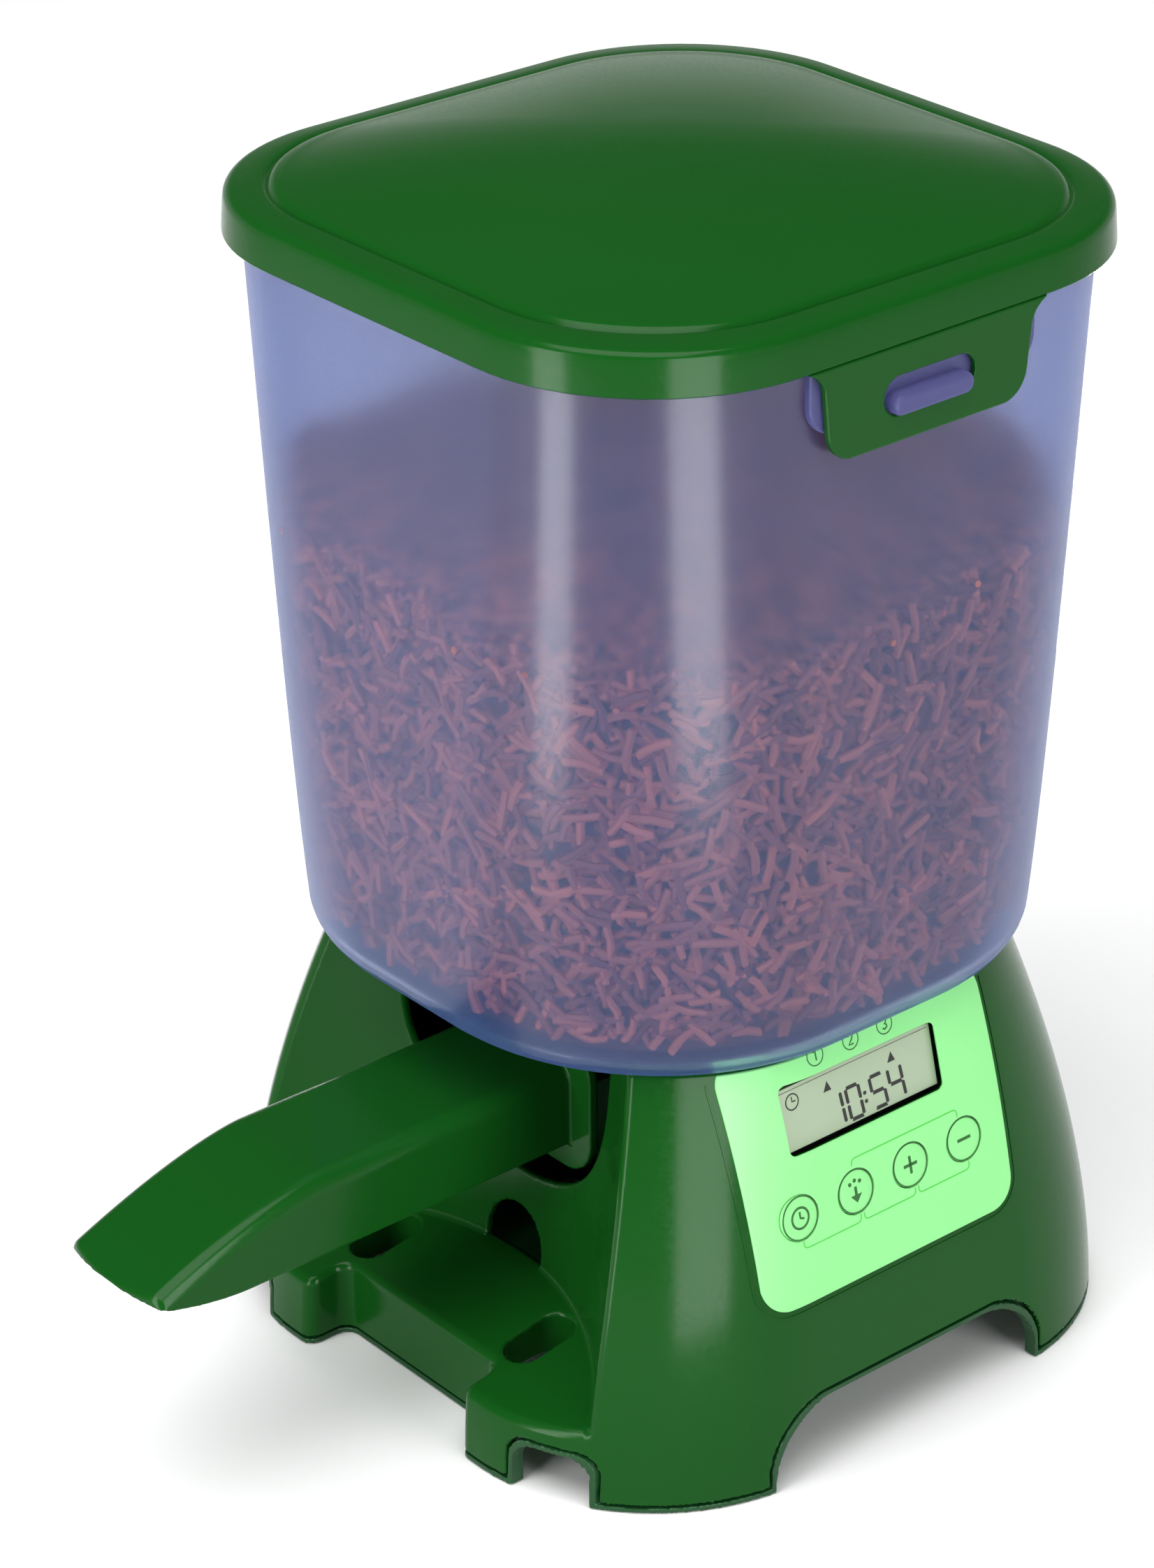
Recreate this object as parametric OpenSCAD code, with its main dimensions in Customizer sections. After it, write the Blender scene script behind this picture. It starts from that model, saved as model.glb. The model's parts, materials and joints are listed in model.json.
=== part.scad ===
// Automatic pond fish feeder: a screw-feed dispenser under a lidded hopper.
// Origin: the hopper's axis at ground level. +Z up, spout towards -Y, controls on the +X face.

/* [Casing] */
// Half width of the casing at the ground
foot_half = 112; // [108:1:116]
// How much the half width shrinks by the top of the casing
flare = 22.5; // [18:0.5:26]
// Height of the casing, where the hopper stands on it
casing_h = 127; // [125:0.5:128]
// Corner radius of the casing in plan
casing_r = 68; // [60:1:72]
// Wall thickness of the mouldings
wall = 2.6; // [2:0.1:3.2]
// Height of the leg arches
arch_h = 24.5; // [20:0.5:26]
// Radius of the front recess at shelf height
recess_r = 102; // [98:1:106]

/* [Shelf] */
// Height of the shelf at its front edge
shelf_h = 22.3; // [18:0.1:24]
// Rise of the shelf per millimetre towards the back
shelf_slope = 0.17; // [0.05:0.01:0.2]
// Distance between the two mounting slots
slot_gap = 73; // [66:1:76]
// Width of each mounting slot
slot_w = 12.4; // [8:0.2:13]
// Length of each mounting slot
slot_len = 23.4; // [18:0.2:25]

/* [Hopper] */
// Height of the hopper's floor edge above the ground
hopper_z = 127.5; // [127.5:0.1:129]
// Top of the hopper wall
hopper_top = 349.6; // [340:0.1:349.6]
// Half width of the hopper at the bottom
hopper_half = 98.6; // [94:0.1:100]
// Hopper wall thickness
hopper_wall = 2.4; // [1.6:0.1:3]
// Level of the pellets in the hopper
food_z = 246; // [150:1:330]

/* [Lid] */
// Half width of the lid
lid_half = 105; // [104.5:0.1:106]
// Lower edge of the lid's skirt
lid_z = 341.3; // [338:0.1:343]
// Rise of the lid's dome
dome_h = 10; // [5:0.5:14]
// Width of each latch tab
tab_w = 72; // [60:1:76]

/* [Feed] */
// Height of the feed screw's axis
screw_z = 90; // [89:0.1:91]
// Radius of the feed screw's flight
screw_r = 8.7; // [8:0.1:8.9]
// Pitch of the feed screw
screw_pitch = 22; // [16:1:30]
// Bore radius of the feed tube
tube_r = 9.2; // [9.1:0.1:9.4]
// Half width of the spout
spout_half = 22; // [20:0.5:24]
// Distance of the spout's tip from the hopper's axis
spout_reach = 206; // [190:1:220]

/* [Controls] */
// Radius of each button
button_r = 6.8; // [5:0.1:7]
// Spacing of the buttons
button_gap = 21.5; // [18:0.1:24]
// Travel of each button
button_travel = 0.8; // [0.4:0.1:1]

/* [Gears] */
// Gear module
gear_m = 1; // [1:0.1:1.1]
// Teeth on each small gear
pinion_teeth = 12; // [12:1:12]
// Teeth on each large gear
wheel_teeth = 36; // [36:1:36]

/* [Hidden] */
$fn = 48;
corner_steps = 9;
recess_y = -163.5;
recess_lean = 0.1;
notch_half = 36;
notch_y = -97;
seam = 0.7;
rim_h = 1.6;
cover_z = 25;
cover_t = wall;
face_z = 96;
face_tilt = 14;
panel_y = -6.5;
button_y = [for (i = [0:3]) -7 + (i - 1.5) * button_gap];
button_v = -14;
lcd_y = -9;
lcd_v = 14.2;
bush_len = 5;
cover_screws = [for (s = [-1, 1]) each [[s * 93, -66], [s * 82, 86]]];
tube_feet = [for (x = [-15, 15], y = [-26, 25]) [x, y]];
foot_z = cover_z + cover_t + 0.1;
spout_top = 103;
spout_floor = 77;
spout_root = -54;
spout_nose = spout_reach - 61;
spout_lip = spout_reach - 34;
second_xz = [11.5, screw_z - 19.92];
first_xz = [second_xz[0] + 23.6, second_xz[1] - 4.18];
motor_xz = [first_xz[0] + 11.5, first_xz[1] - 19.92];
screw_xz = [0, screw_z];
output_teeth = 34;
plate_x = [-26.5, 62];
plate_z = [foot_z, 105];
pillar_xz = [[-22, 34], [-22, 99], [56, 99], [56, 33.5]];
cell_r = 12.9;
cell_len = 49;
cell_y = [for (i = [0:3]) (i - 1.5) * 26.4];
cell_z = 41.6;
cell_x = -83;
green = [0.10, 0.33, 0.13];
dark_green = [0.05, 0.20, 0.08];

function base_half(z) = foot_half - flare * pow(max(z, 0) / casing_h, 1.72);
function ring(half, r, z) = [for (c = [0:3], i = [0:corner_steps])
  let (a = 90 * c + 90 * i / corner_steps, rr = min(r, half),
       sx = (c == 0 || c == 3) ? 1 : -1, sy = c < 2 ? 1 : -1)
  [sx * (half - rr) + rr * cos(a), sy * (half - rr) + rr * sin(a), z]];

// Solid through a stack of rounded squares, each [half width, corner radius, height]
module loft(rings) {
  n = 4 * (corner_steps + 1);
  m = len(rings);
  points = [for (r = rings) each ring(r[0], r[1], r[2])];
  sides = [for (k = [0:m - 2], i = [0:n - 1]) let (j = (i + 1) % n)
    each [[k * n + i, (k + 1) * n + i, (k + 1) * n + j], [k * n + i, (k + 1) * n + j, k * n + j]]];
  bottom = [for (i = [0:n - 1]) i];
  top = [for (i = [n - 1:-1:0]) (m - 1) * n + i];
  polyhedron(points, concat([bottom], sides, [top]));
}

// Flat bar with round ends along the first axis, centred
module obround(length, width) {
  for (s = [-1, 1]) translate([s * (length - width) / 2, 0]) circle(width / 2);
  square([length - width, width], center = true);
}

module rounded_square(x, y, r) {
  square([x - 2 * r, y], center = true);
  square([x, y - 2 * r], center = true);
  for (sx = [-1, 1], sy = [-1, 1]) translate([sx * (x / 2 - r), sy * (y / 2 - r)]) circle(r);
}

// ---- Casing ----
module casing_body(inset, z0, z1) {
  zs = [z0, each [for (z = [15:15:105]) if (z > z0 + 4 && z < z1 - 4) z], z1];
  loft([for (z = zs) [base_half(z) - inset, casing_r - inset, z]]);
}

// Space above the shelf and in front of the recess wall, moved outwards by d
module recess_space(d) {
  h = casing_h + 20;
  lean = recess_lean * h;
  intersection() {
    translate([0, recess_y, 0])
      cylinder(h = h, r1 = recess_r - 2.5 + d, r2 = recess_r - 2.5 + lean + d, $fn = 96);
    rotate([90, 0, 90]) linear_extrude(300, center = true)
      polygon([[-200, shelf_h + shelf_slope * (-200 + 112) - d], [0, shelf_h + shelf_slope * 112 - d],
               [0, h], [-200, h]]);
  }
}

// Notch between the two front lobes, moved outwards by d
module front_notch(d) {
  r = 5;
  translate([0, 0, -1]) linear_extrude(60) {
    translate([0, notch_y + d - 30]) rounded_square(2 * (notch_half + d), 60, r);
    for (s = [-1, 1]) difference() {
      translate([s * (notch_half + d + r / 2) - r / 2, -foot_half - r]) square([r, 2 * r]);
      translate([s * (notch_half + d + r), -foot_half + r]) circle(r);
    }
  }
}

module arch(width, height, r, d) {
  translate([-width / 2 - d, -20]) square([width + 2 * d, 20 + height + d - r]);
  translate([-width / 2 - d + r, -20]) square([width + 2 * d - 2 * r, 20 + height + d]);
  for (s = [-1, 1]) translate([s * (width / 2 + d - r), height + d - r]) circle(r);
}

// Openings along the bottom edge, enlarged by d
module leg_arches(d) {
  translate([0, -3, 0]) rotate([90, 0, 90]) linear_extrude(260, center = true)
    arch(104, arch_h, 22, d);
  translate([0, 80, 0]) rotate([90, 0, 0]) linear_extrude(80, center = true)
    arch(108, arch_h, 16, d);
  for (s = [-1, 1]) translate([s * 69.5, -100, 0]) rotate([90, 0, 0]) linear_extrude(44, center = true)
    arch(23, 15.5, 7, d);
}

module shell(outer_inset, inner_inset, z0, z1) {
  difference() {
    casing_body(outer_inset, z0, z1);
    difference() {
      casing_body(inner_inset, z0 - 1, z1 - wall);
      front_notch(inner_inset);
      recess_space(wall);
    }
    front_notch(outer_inset);
    recess_space(0);
  }
}

// Frame of the control face: local X out of the face, Y along it, Z up it
module on_face() {
  translate([base_half(face_z), 0, face_z]) rotate([0, -face_tilt, 0]) children();
}
module screw_bosses() difference() {
  for (p = cover_screws) translate([p[0], p[1], foot_z]) difference() {
    cylinder(h = 42, r = 4.6);
    translate([0, 0, -1]) cylinder(h = 16, r = 1.95);
  }
  difference() {
    translate([-150, -150, 0]) cube([300, 300, 100]);
    casing_body(1, 0, 100);
  }
}

module housing() color(green) difference() {
  union() {
    shell(0, wall, 0, casing_h);
    screw_bosses();
  }
  translate([0, 0, -1]) linear_extrude(rim_h + seam + 1) square(260, center = true);
  leg_arches(rim_h + seam);
  // opening that the hopper's funnel passes
  translate([0, 0, casing_h - 10]) cylinder(h = 20, r = 80.6, $fn = 96);
  // opening for the spout, and the small cable arch under it
  translate([0, -60, 105.5]) rotate([90, 0, 0]) cylinder(h = 40, r = 47, center = true, $fn = 96);
  translate([-47, -80, 105.5]) cube([94, 40, 30]);
  translate([0, -55, 34.2]) rotate([90, 0, 0]) cylinder(h = 24, r = 12.4, center = true);
  translate([-12.4, -67, 30.6]) cube([24.8, 24, 3.6]);
  for (s = [-1, 1]) translate([s * slot_gap / 2, -81.7, 10]) linear_extrude(30)
    rotate(90) obround(slot_len, slot_w);
  on_face() {
    for (y = button_y) translate([-12, y, button_v]) rotate([0, 90, 0])
      cylinder(h = 24, r = button_r + 0.3);
    translate([-8, lcd_y - 31, lcd_v - 11]) cube([20, 62, 22]);
  }
}

module cover_band() {
  difference() {
    shell(0, wall + 1.8, 0, cover_z + cover_t);
    difference() {
      casing_body(-5, rim_h, 60);
      difference() {
        casing_body(wall + 0.4, -1, 61);
        front_notch(wall + 0.4);
      }
      leg_arches(rim_h);
    }
    leg_arches(0);
  }
}

module battery_opening(d, z, h) {
  translate([-85 - d, -53 - d, z]) cube([54 + 2 * d, 106 + 2 * d, h]);
}

// Lower cover: the rim seen under the casing, a band inside the casing's wall, and a plate
module base_cover() color(dark_green) {
  difference() {
    cover_band();
    recess_space(wall + 3);
    battery_opening(0, 20, 20);
    for (p = cover_screws) translate([p[0], p[1], 20]) cylinder(h = 12, r = 2.1);
    for (p = tube_feet) translate([p[0], p[1], 20]) cylinder(h = 12, r = 1.3);
  }
  // rails that the battery door slides in
  for (y = [-60.2, 58.2]) translate([-88, y, cover_z - 4.4]) cube([58, 2, 4.4]);
  for (y = [-58.3, 54.5]) translate([-88, y, cover_z - 4.4]) cube([58, 3.8, 1]);
}

module lid_shape(inset, drop) {
  h = lid_half - inset;
  r = 59.5 - inset;
  step = 93.5 - inset;
  loft([[h, r, lid_z - (inset > 0 ? 1 : 0)], [h - 0.7, r, lid_z + 9 - drop],
    [h - 1.6, r - 0.4, lid_z + 12 - drop], [h - 3.4, r - 1.5, lid_z + 13.4 - drop],
    [step + 1.2, r - 6, lid_z + 13.6 - drop], [step, r - 7, lid_z + 14.6 - drop],
    for (k = [0.85:-0.15:0.1]) [step * k, (r - 7) * sqrt(k), lid_z + 14.6 - drop + dome_h * (1 - k * k)]]);
}

module lid() color(green) difference() {
  lid_shape(0, 0);
  lid_shape(2, 2.1);
}

module lid_seal() color([0.12, 0.12, 0.12])
  translate([0, 0, hopper_top + 0.05]) linear_extrude(lid_z + 11.2 - hopper_top - 0.3) difference() {
    rounded_square(2 * 99.3, 2 * 99.3, 56);
    rounded_square(2 * 96.6, 2 * 96.6, 53.3);
  }

// Latch tab in its own plane: hangs below the lid's skirt and takes the hopper's lug in its slot
module lid_tab(s) {
  drop = 27.5;
  translate([s * (lid_half - 1), 0, lid_z]) rotate([90, 0, 90]) linear_extrude(2, center = true)
    difference() {
      union() {
        translate([-tab_w / 2 + 7, -drop]) square([tab_w - 14, drop]);
        translate([-tab_w / 2, -drop + 7]) square([tab_w, drop - 7]);
        for (t = [-1, 1]) {
          translate([t * (tab_w / 2 - 7), 7 - drop]) circle(7);
          difference() {
            translate([t * (tab_w / 2 + 3) - 3, -6]) square([6, 6]);
            translate([t * (tab_w / 2 + 6), -6]) circle(6);
          }
        }
      }
      translate([0, -14.2]) obround(33, 11);
    }
}
module lid_tab_right() color(green) lid_tab(1);
module lid_tab_left() color(green) lid_tab(-1);

// ---- Hopper and food ----
function hopper_ring(z, inset) = let (t = max(0, (z - hopper_z) / 214))
  [hopper_half + 2 * pow(t, 0.6) - inset, 82 - 24 * pow(t, 0.8) - inset, z];

module hopper_shape(inset, z0, z1, fillet) {
  foot = hopper_ring(z0 + fillet, inset);
  loft([for (a = [0:22.5:67.5]) let (s = fillet * (1 - sin(a)))
      [foot[0] - s, foot[1] - s, z0 + fillet * (1 - cos(a))],
    for (z = [z0 + fillet:24:z1 - 12]) hopper_ring(z, inset), hopper_ring(z1, inset)]);
}

module hopper() color([0.55, 0.57, 0.78, 0.5]) {
  funnel_z = 112;
  difference() {
    union() {
      hopper_shape(0, hopper_z, hopper_top, 10);
      translate([0, 0, funnel_z]) cylinder(h = hopper_z - funnel_z, r1 = 18.6, r2 = 80, $fn = 96);
      translate([0, 0, 104.4]) cylinder(h = 10, r = 18.6);
      for (s = [-1, 1]) {
        // pad behind the latch tab, and the lug that stands in the tab's slot
        translate([s * 101, 0, 331]) rotate([90, 0, 90]) linear_extrude(3.4, center = true)
          rounded_square(82, 19, 4);
        translate([s * 103.2, 0, 324.9]) rotate([90, 0, 90]) linear_extrude(8.6, center = true)
          obround(29, 6);
      }
    }
    hopper_shape(hopper_wall, hopper_z + 2.6, hopper_top + 1, 8);
    translate([0, 0, 114.6]) cylinder(h = 15.6, r1 = 16.2, r2 = 78, $fn = 96);
    translate([0, 0, 100]) cylinder(h = 20, r = 16.2);
  }
}

module food_fill() color([0.60, 0.30, 0.22]) {
  translate([0, 0, hopper_z + 2.9]) intersection() {
    translate([0, 0, -hopper_z - 2.9]) hopper_shape(hopper_wall + 0.4, hopper_z + 2.9, food_z, 8);
    cylinder(h = 200, r = 200);
  }
  translate([0, 0, 115.1]) cylinder(h = 15.6, r1 = 15.8, r2 = 77);
}

// ---- Controls ----
module panel_outline(grow) {
  translate([panel_y, 0]) rounded_square(97 + 2 * grow, 74 + 2 * grow, 9 + grow);
}

module control_panel() color([0.62, 0.98, 0.64]) difference() {
  intersection() {
    difference() {
      casing_body(-0.75, 40, casing_h - 0.1);
      casing_body(-0.06, 39, casing_h + 1);
    }
    translate([60, 0, 93.5]) rotate([90, 0, 90]) linear_extrude(80) panel_outline(0);
  }
  on_face() {
    for (y = button_y) translate([-12, y, button_v]) rotate([0, 90, 0])
      cylinder(h = 24, r = button_r + 0.25);
    translate([-8, lcd_y - 30, lcd_v - 10]) cube([20, 60, 20]);
  }
}

module button(i) on_face() {
  translate([-5, button_y[i], button_v]) rotate([0, 90, 0]) cylinder(h = 5.7, r = button_r);
  translate([-6.5, button_y[i], button_v]) rotate([0, 90, 0]) cylinder(h = 2, r = 2.2);
}
module time_button() color([0.62, 0.98, 0.64]) button(0);
module feed_button() color([0.62, 0.98, 0.64]) button(1);
module plus_button() color([0.62, 0.98, 0.64]) button(2);
module minus_button() color([0.62, 0.98, 0.64]) button(3);

module lcd_glass() color([0.62, 0.67, 0.58]) on_face()
  translate([-3.4, lcd_y - 29.5, lcd_v - 9.5]) cube([1.5, 59, 19]);

module lcd_frame() color([0.15, 0.15, 0.15]) on_face() difference() {
  union() {
    translate([-9, lcd_y - 33, lcd_v - 13]) cube([2.6, 66, 26]);
    translate([-6.5, lcd_y - 30.4, lcd_v - 10.4]) cube([3, 60.8, 20.8]);
  }
  translate([-7.8, lcd_y - 28, lcd_v - 8]) cube([5, 56, 16]);
}

module control_board() color([0.05, 0.35, 0.15]) on_face()
  translate([-12.2, panel_y - 42, -24]) cube([1.6, 84, 52]);

module tact_switches() color([0.2, 0.2, 0.2]) on_face() for (y = button_y) {
  translate([-10.6, y - 3, button_v - 3]) cube([2.6, 6, 6]);
  translate([-8, y, button_v]) rotate([0, 90, 0]) cylinder(h = 0.6, r = 1.7);
}

// ---- Feed tube, screw and spout ----
module feed_tube() color(dark_green) difference() {
  union() {
    translate([0, 26, screw_z]) rotate([90, 0, 0]) cylinder(h = 176, r = tube_r + 1.6);
    translate([0, 0, screw_z - 9]) cylinder(h = 30, r = 21.5);
    for (y = [-22, 18]) translate([-8, y, foot_z]) cube([16, 4, screw_z - 36]);
    translate([-20, -31, foot_z]) cube([40, 60.5, 3]);
  }
  translate([0, 24.6, screw_z]) rotate([90, 0, 0]) cylinder(h = 184, r = tube_r);
  translate([0, 30, screw_z]) rotate([90, 0, 0]) cylinder(h = 20, r = 3.3);
  translate([0, 0, screw_z]) cylinder(h = 14.01, r1 = 8.5, r2 = 16.2);
  translate([0, 0, screw_z + 14]) cylinder(h = 20, r = 18.9);
  for (p = tube_feet) translate([p[0], p[1], cover_z]) cylinder(h = 10, r = 1.7);
}

module tube_screws() color("silver") for (p = tube_feet) translate([p[0], p[1], foot_z + 3]) {
  translate([0, 0, -5.2]) cylinder(h = 5.25, r = 1.25);
  difference() {
    cylinder(h = 1.8, r = 3);
    translate([-0.4, -2.2, 0.9]) cube([0.8, 4.4, 2]);
    translate([-2.2, -0.4, 0.9]) cube([4.4, 0.8, 2]);
  }
}

// One turn-by-turn helical flight on a round core
module feed_screw() color([0.85, 0.85, 0.80]) {
  y_front = -148;
  y_back = 24;
  turns = (y_back - y_front) / screw_pitch;
  steps = 18;
  n = floor(turns * steps);
  translate([0, 60.5, screw_z]) rotate([90, 0, 0]) cylinder(h = 60.5 - y_front, r = 3);
  translate([0, y_back, screw_z]) rotate([90, 0, 0]) flight(n, steps);
}

module flight(n, steps) {
  sections = [for (k = [0:n]) let (a = 360 * k / steps, y = screw_pitch * k / steps)
    each [[2.6 * cos(a), 2.6 * sin(a), y], [screw_r * cos(a), screw_r * sin(a), y + 0.5],
          [screw_r * cos(a), screw_r * sin(a), y + 1.4], [2.6 * cos(a), 2.6 * sin(a), y + 2]]];
  sides = [for (k = [0:n - 1], i = [0:3]) let (j = (i + 1) % 4, p = 4 * k, q = 4 * k + 4)
    each [[p + i, q + j, q + i], [p + i, p + j, q + j]]];
  polyhedron(sections, concat([[3, 2, 1, 0]], sides, [[4 * n, 4 * n + 1, 4 * n + 2, 4 * n + 3]]));
}

function spout_upper(y) = spout_top - 18.5 * pow(max(0, y - spout_nose) / 61, 1.5);
function spout_lower(y) = spout_floor + 6.5 * pow(max(0, y - spout_lip) / 34, 1.8);
// Side outline of the spout, drawn with the reach as the first axis and shrunk by d
module spout_side(d) {
  tip = spout_reach - 3 * d;
  polygon([[-spout_root, spout_floor + d],
    for (k = [0:5]) let (y = spout_lip + (tip - spout_lip) * k / 5) [y, spout_lower(y) + d],
    for (k = [8:-1:0]) let (y = spout_nose + (tip - spout_nose) * k / 8) [y, spout_upper(y) - d],
    [-spout_root, spout_top - d]]);
}

module spout_block(d) intersection() {
  rotate([90, 0, -90]) linear_extrude(80, center = true) spout_side(d);
  translate([0, 0, spout_top - d - 30]) rotate([90, 0, 0]) linear_extrude(230)
    rounded_square(2 * (spout_half - d), 60, 4 - d / 2);
  union() {
    translate([0, 71 - spout_reach + d, 0]) cylinder(h = 120, r = 71, $fn = 96);
    translate([-40, 71 - spout_reach, 0]) cube([80, 120, 120]);
  }
}

module spout() color(green) difference() {
  union() {
    difference() {
      spout_block(0);
      spout_block(1.6);
      translate([-spout_half + 1.6, -spout_reach + 7, spout_floor - 5])
        cube([2 * spout_half - 3.2, 36, 12]);
    }
    intersection() {
      translate([0, -54, 90]) rotate([90, 0, 0]) linear_extrude(3) rounded_square(62, 44, 12);
      translate([-40, -60, 68]) cube([80, 10, 50]);
    }
    translate([0, -51, screw_z]) rotate([90, 0, 0]) cylinder(h = 5, r = 14);
  }
  translate([0, -40, screw_z]) rotate([90, 0, 0]) cylinder(h = 17.1, r = tube_r + 1.7);
  intersection() {
    translate([0, -50, screw_z]) rotate([90, 0, 0]) cylinder(h = 12, r = 13);
    translate([-20, -62, screw_z - 11.2]) cube([40, 5.1, 22.4]);
  }
}

// ---- Gear train ----
function involute(a) = tan(a) * 180 / PI - a;
// Half angle of a tooth at radius r
function tooth_half(teeth, r) = let (rb = gear_m * teeth / 2 * cos(20))
  (90 - 16) / teeth + involute(20) - involute(acos(min(1, rb / max(r, rb))));

module gear(teeth, width, bore, phase) {
  pitch = gear_m * teeth / 2;
  radii = [for (k = [0:4]) pitch - 1.2 * gear_m + k * 0.51 * gear_m];
  rotate([90, 0, 0]) rotate(phase) difference() {
    linear_extrude(width, center = true) polygon([for (t = [0:teeth - 1]) each concat(
      [for (r = radii) let (a = 360 * t / teeth - tooth_half(teeth, r)) [r * cos(a), r * sin(a)]],
      [for (k = [4:-1:0]) let (r = radii[k], a = 360 * t / teeth + tooth_half(teeth, r))
        [r * cos(a), r * sin(a)]])]);
    cylinder(h = width + 2, r = bore, center = true);
  }
}

// Direction from one axis to the next, in degrees in the gear's own plane
function heading(p, q) = atan2(q[1] - p[1], q[0] - p[0]);
// A tooth of the driven gear points along the line of centres and the mating gear shows a gap
second_small_phase = heading(second_xz, screw_xz) + 180 / pinion_teeth;
second_big_phase = second_small_phase;
first_small_phase = let (out = heading(second_xz, first_xz), back = out + 180,
  offset = (out - second_big_phase) * wheel_teeth / 360)
  back + (offset - floor(offset)) * 360 / pinion_teeth + 180 / pinion_teeth;
first_big_phase = first_small_phase;
motor_phase = let (out = heading(first_xz, motor_xz), back = out + 180,
  offset = (out - first_big_phase) * wheel_teeth / 360)
  back + (offset - floor(offset)) * 360 / 10 + 180 / 10;

module at(xz, y) translate([xz[0], y, xz[1]]) children();

module output_gear() color("white") {
  at(screw_xz, 40) gear(output_teeth, 6, 2.9, heading(screw_xz, second_xz));
}
module compound(xz, y_small, w_small, y_big, phase_small, phase_big) {
  at(xz, y_small) gear(pinion_teeth, w_small, 2.05, phase_small);
  at(xz, y_big) gear(wheel_teeth, 5, 2.05, phase_big);
}
module second_gear() color("white")
  compound(second_xz, 40.5, 8, 47, second_small_phase, second_big_phase);
module first_gear() color("white")
  compound(first_xz, 48, 7, 54, first_small_phase, first_big_phase);
module motor_pinion() color("gold") {
  at(motor_xz, 54) gear(10, 5, 0.9, motor_phase);
  at(motor_xz, 78) rotate([90, 0, 0]) cylinder(h = 27, r = 1);
}

module gear_plate(y) {
  difference() {
    translate([plate_x[0], y, plate_z[0]])
      cube([plate_x[1] - plate_x[0], 3, plate_z[1] - plate_z[0]]);
    at(screw_xz, y + 1.5) rotate([90, 0, 0]) cylinder(h = 5, r = 5, center = true);
    for (p = [first_xz, second_xz]) at(p, y + 1.5) rotate([90, 0, 0])
      cylinder(h = 5, r = 2.03, center = true);
    for (p = pillar_xz) at(p, y + 1.5) rotate([90, 0, 0]) cylinder(h = 5, r = 1.7, center = true);
    children();
  }
}
module gearbox_front_plate() color("lightgray") gear_plate(30);
module gearbox_rear_plate() color("lightgray") gear_plate(58)
  at(motor_xz, 59.5) rotate([90, 0, 0]) cylinder(h = 5, r = 4, center = true);
module gearbox_pillars() color("silver") for (p = pillar_xz) at(p, 58) rotate([90, 0, 0]) difference() {
  cylinder(h = 25, r = 3.5);
  translate([0, 0, -1]) cylinder(h = 9, r = 1.3);
  translate([0, 0, 17]) cylinder(h = 9, r = 1.3);
}
module gear_spindles() color("silver") for (p = [first_xz, second_xz])
  at(p, 61) rotate([90, 0, 0]) cylinder(h = 31, r = 2);
module gearbox_screws() color("silver") for (p = pillar_xz, s = [0, 1])
  at(p, s ? 61 : 30) rotate([s ? -90 : 90, 0, 0]) {
    translate([0, 0, -9]) cylinder(h = 9.1, r = 1.25);
    difference() {
      cylinder(h = 1.8, r = 3);
      translate([-0.4, -2.2, 0.9]) cube([0.8, 4.4, 2]);
      translate([-2.2, -0.4, 0.9]) cube([4.4, 0.8, 2]);
    }
  }
module bush(y) at(screw_xz, y) rotate([90, 0, 0]) difference() {
  union() {
    cylinder(h = bush_len, r = 5, center = true);
    translate([0, 0, -bush_len / 2]) cylinder(h = 1, r = 7);
  }
  cylinder(h = bush_len + 2, r = 3.05, center = true);
}
module front_bush() color("peru") bush(31.5);
module rear_bush() color("peru") bush(59.5);

module motor() color("silver") at(motor_xz, 61.1) rotate([-90, 0, 0]) difference() {
  union() {
    cylinder(h = 30, r = 12);
    translate([0, 0, -2.6]) cylinder(h = 2.7, r = 3.8);
  }
  translate([0, 0, -4]) cylinder(h = 22, r = 1.05);
}
module motor_end_cap() color([0.15, 0.15, 0.15]) at(motor_xz, 91.15) rotate([-90, 0, 0]) {
  cylinder(h = 2.4, r = 10.5);
  for (s = [-1, 1]) translate([s * 6 - 1.2, -0.3, 2.3]) cube([2.4, 0.6, 4]);
}

// ---- Batteries ----
module battery_box() color([0.12, 0.12, 0.12]) difference() {
  translate([-89, -57, cover_z + cover_t + 0.05]) cube([62, 114, 29.6]);
  battery_opening(0, cover_z, 30.6);
}
module batteries() color([0.75, 0.62, 0.3]) for (i = [0:3])
  translate([cell_x + (i % 2 ? cell_len : 0), cell_y[i], cell_z]) rotate([0, i % 2 ? -90 : 90, 0]) {
    cylinder(h = cell_len - 1.8, r = cell_r);
    translate([0, 0, cell_len - 1.9]) cylinder(h = 1.9, r = 3.4);
  }
module battery_contacts() color("silver") for (i = [0:3], s = [0, 1])
  translate([s ? -31.8 : -85, cell_y[i] - 9, cell_z - 9]) cube([0.8, 18, 18]);
module battery_springs() color("silver") for (i = [0:3])
  translate([(i % 2) ? -33.8 : -84.15, cell_y[i], cell_z]) rotate([0, 90, 0]) difference() {
    cylinder(h = (i % 2) ? 1.95 : 1.1, r = 6);
    translate([0, 0, -1]) cylinder(h = 5, r = 4.4);
  }
module battery_door() color(dark_green) {
  translate([-87, -57.8, cover_z - 3.2]) cube([57, 115.6, 2.4]);
  for (i = [0:4]) translate([-46 + i * 2.6, -14, cover_z - 4.1]) cube([1.2, 28, 1]);
}
module door_seal() color([0.1, 0.1, 0.1]) difference() {
  battery_opening(1.6, cover_z - 0.65, 0.6);
  battery_opening(0.2, cover_z - 1, 2);
}

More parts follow.
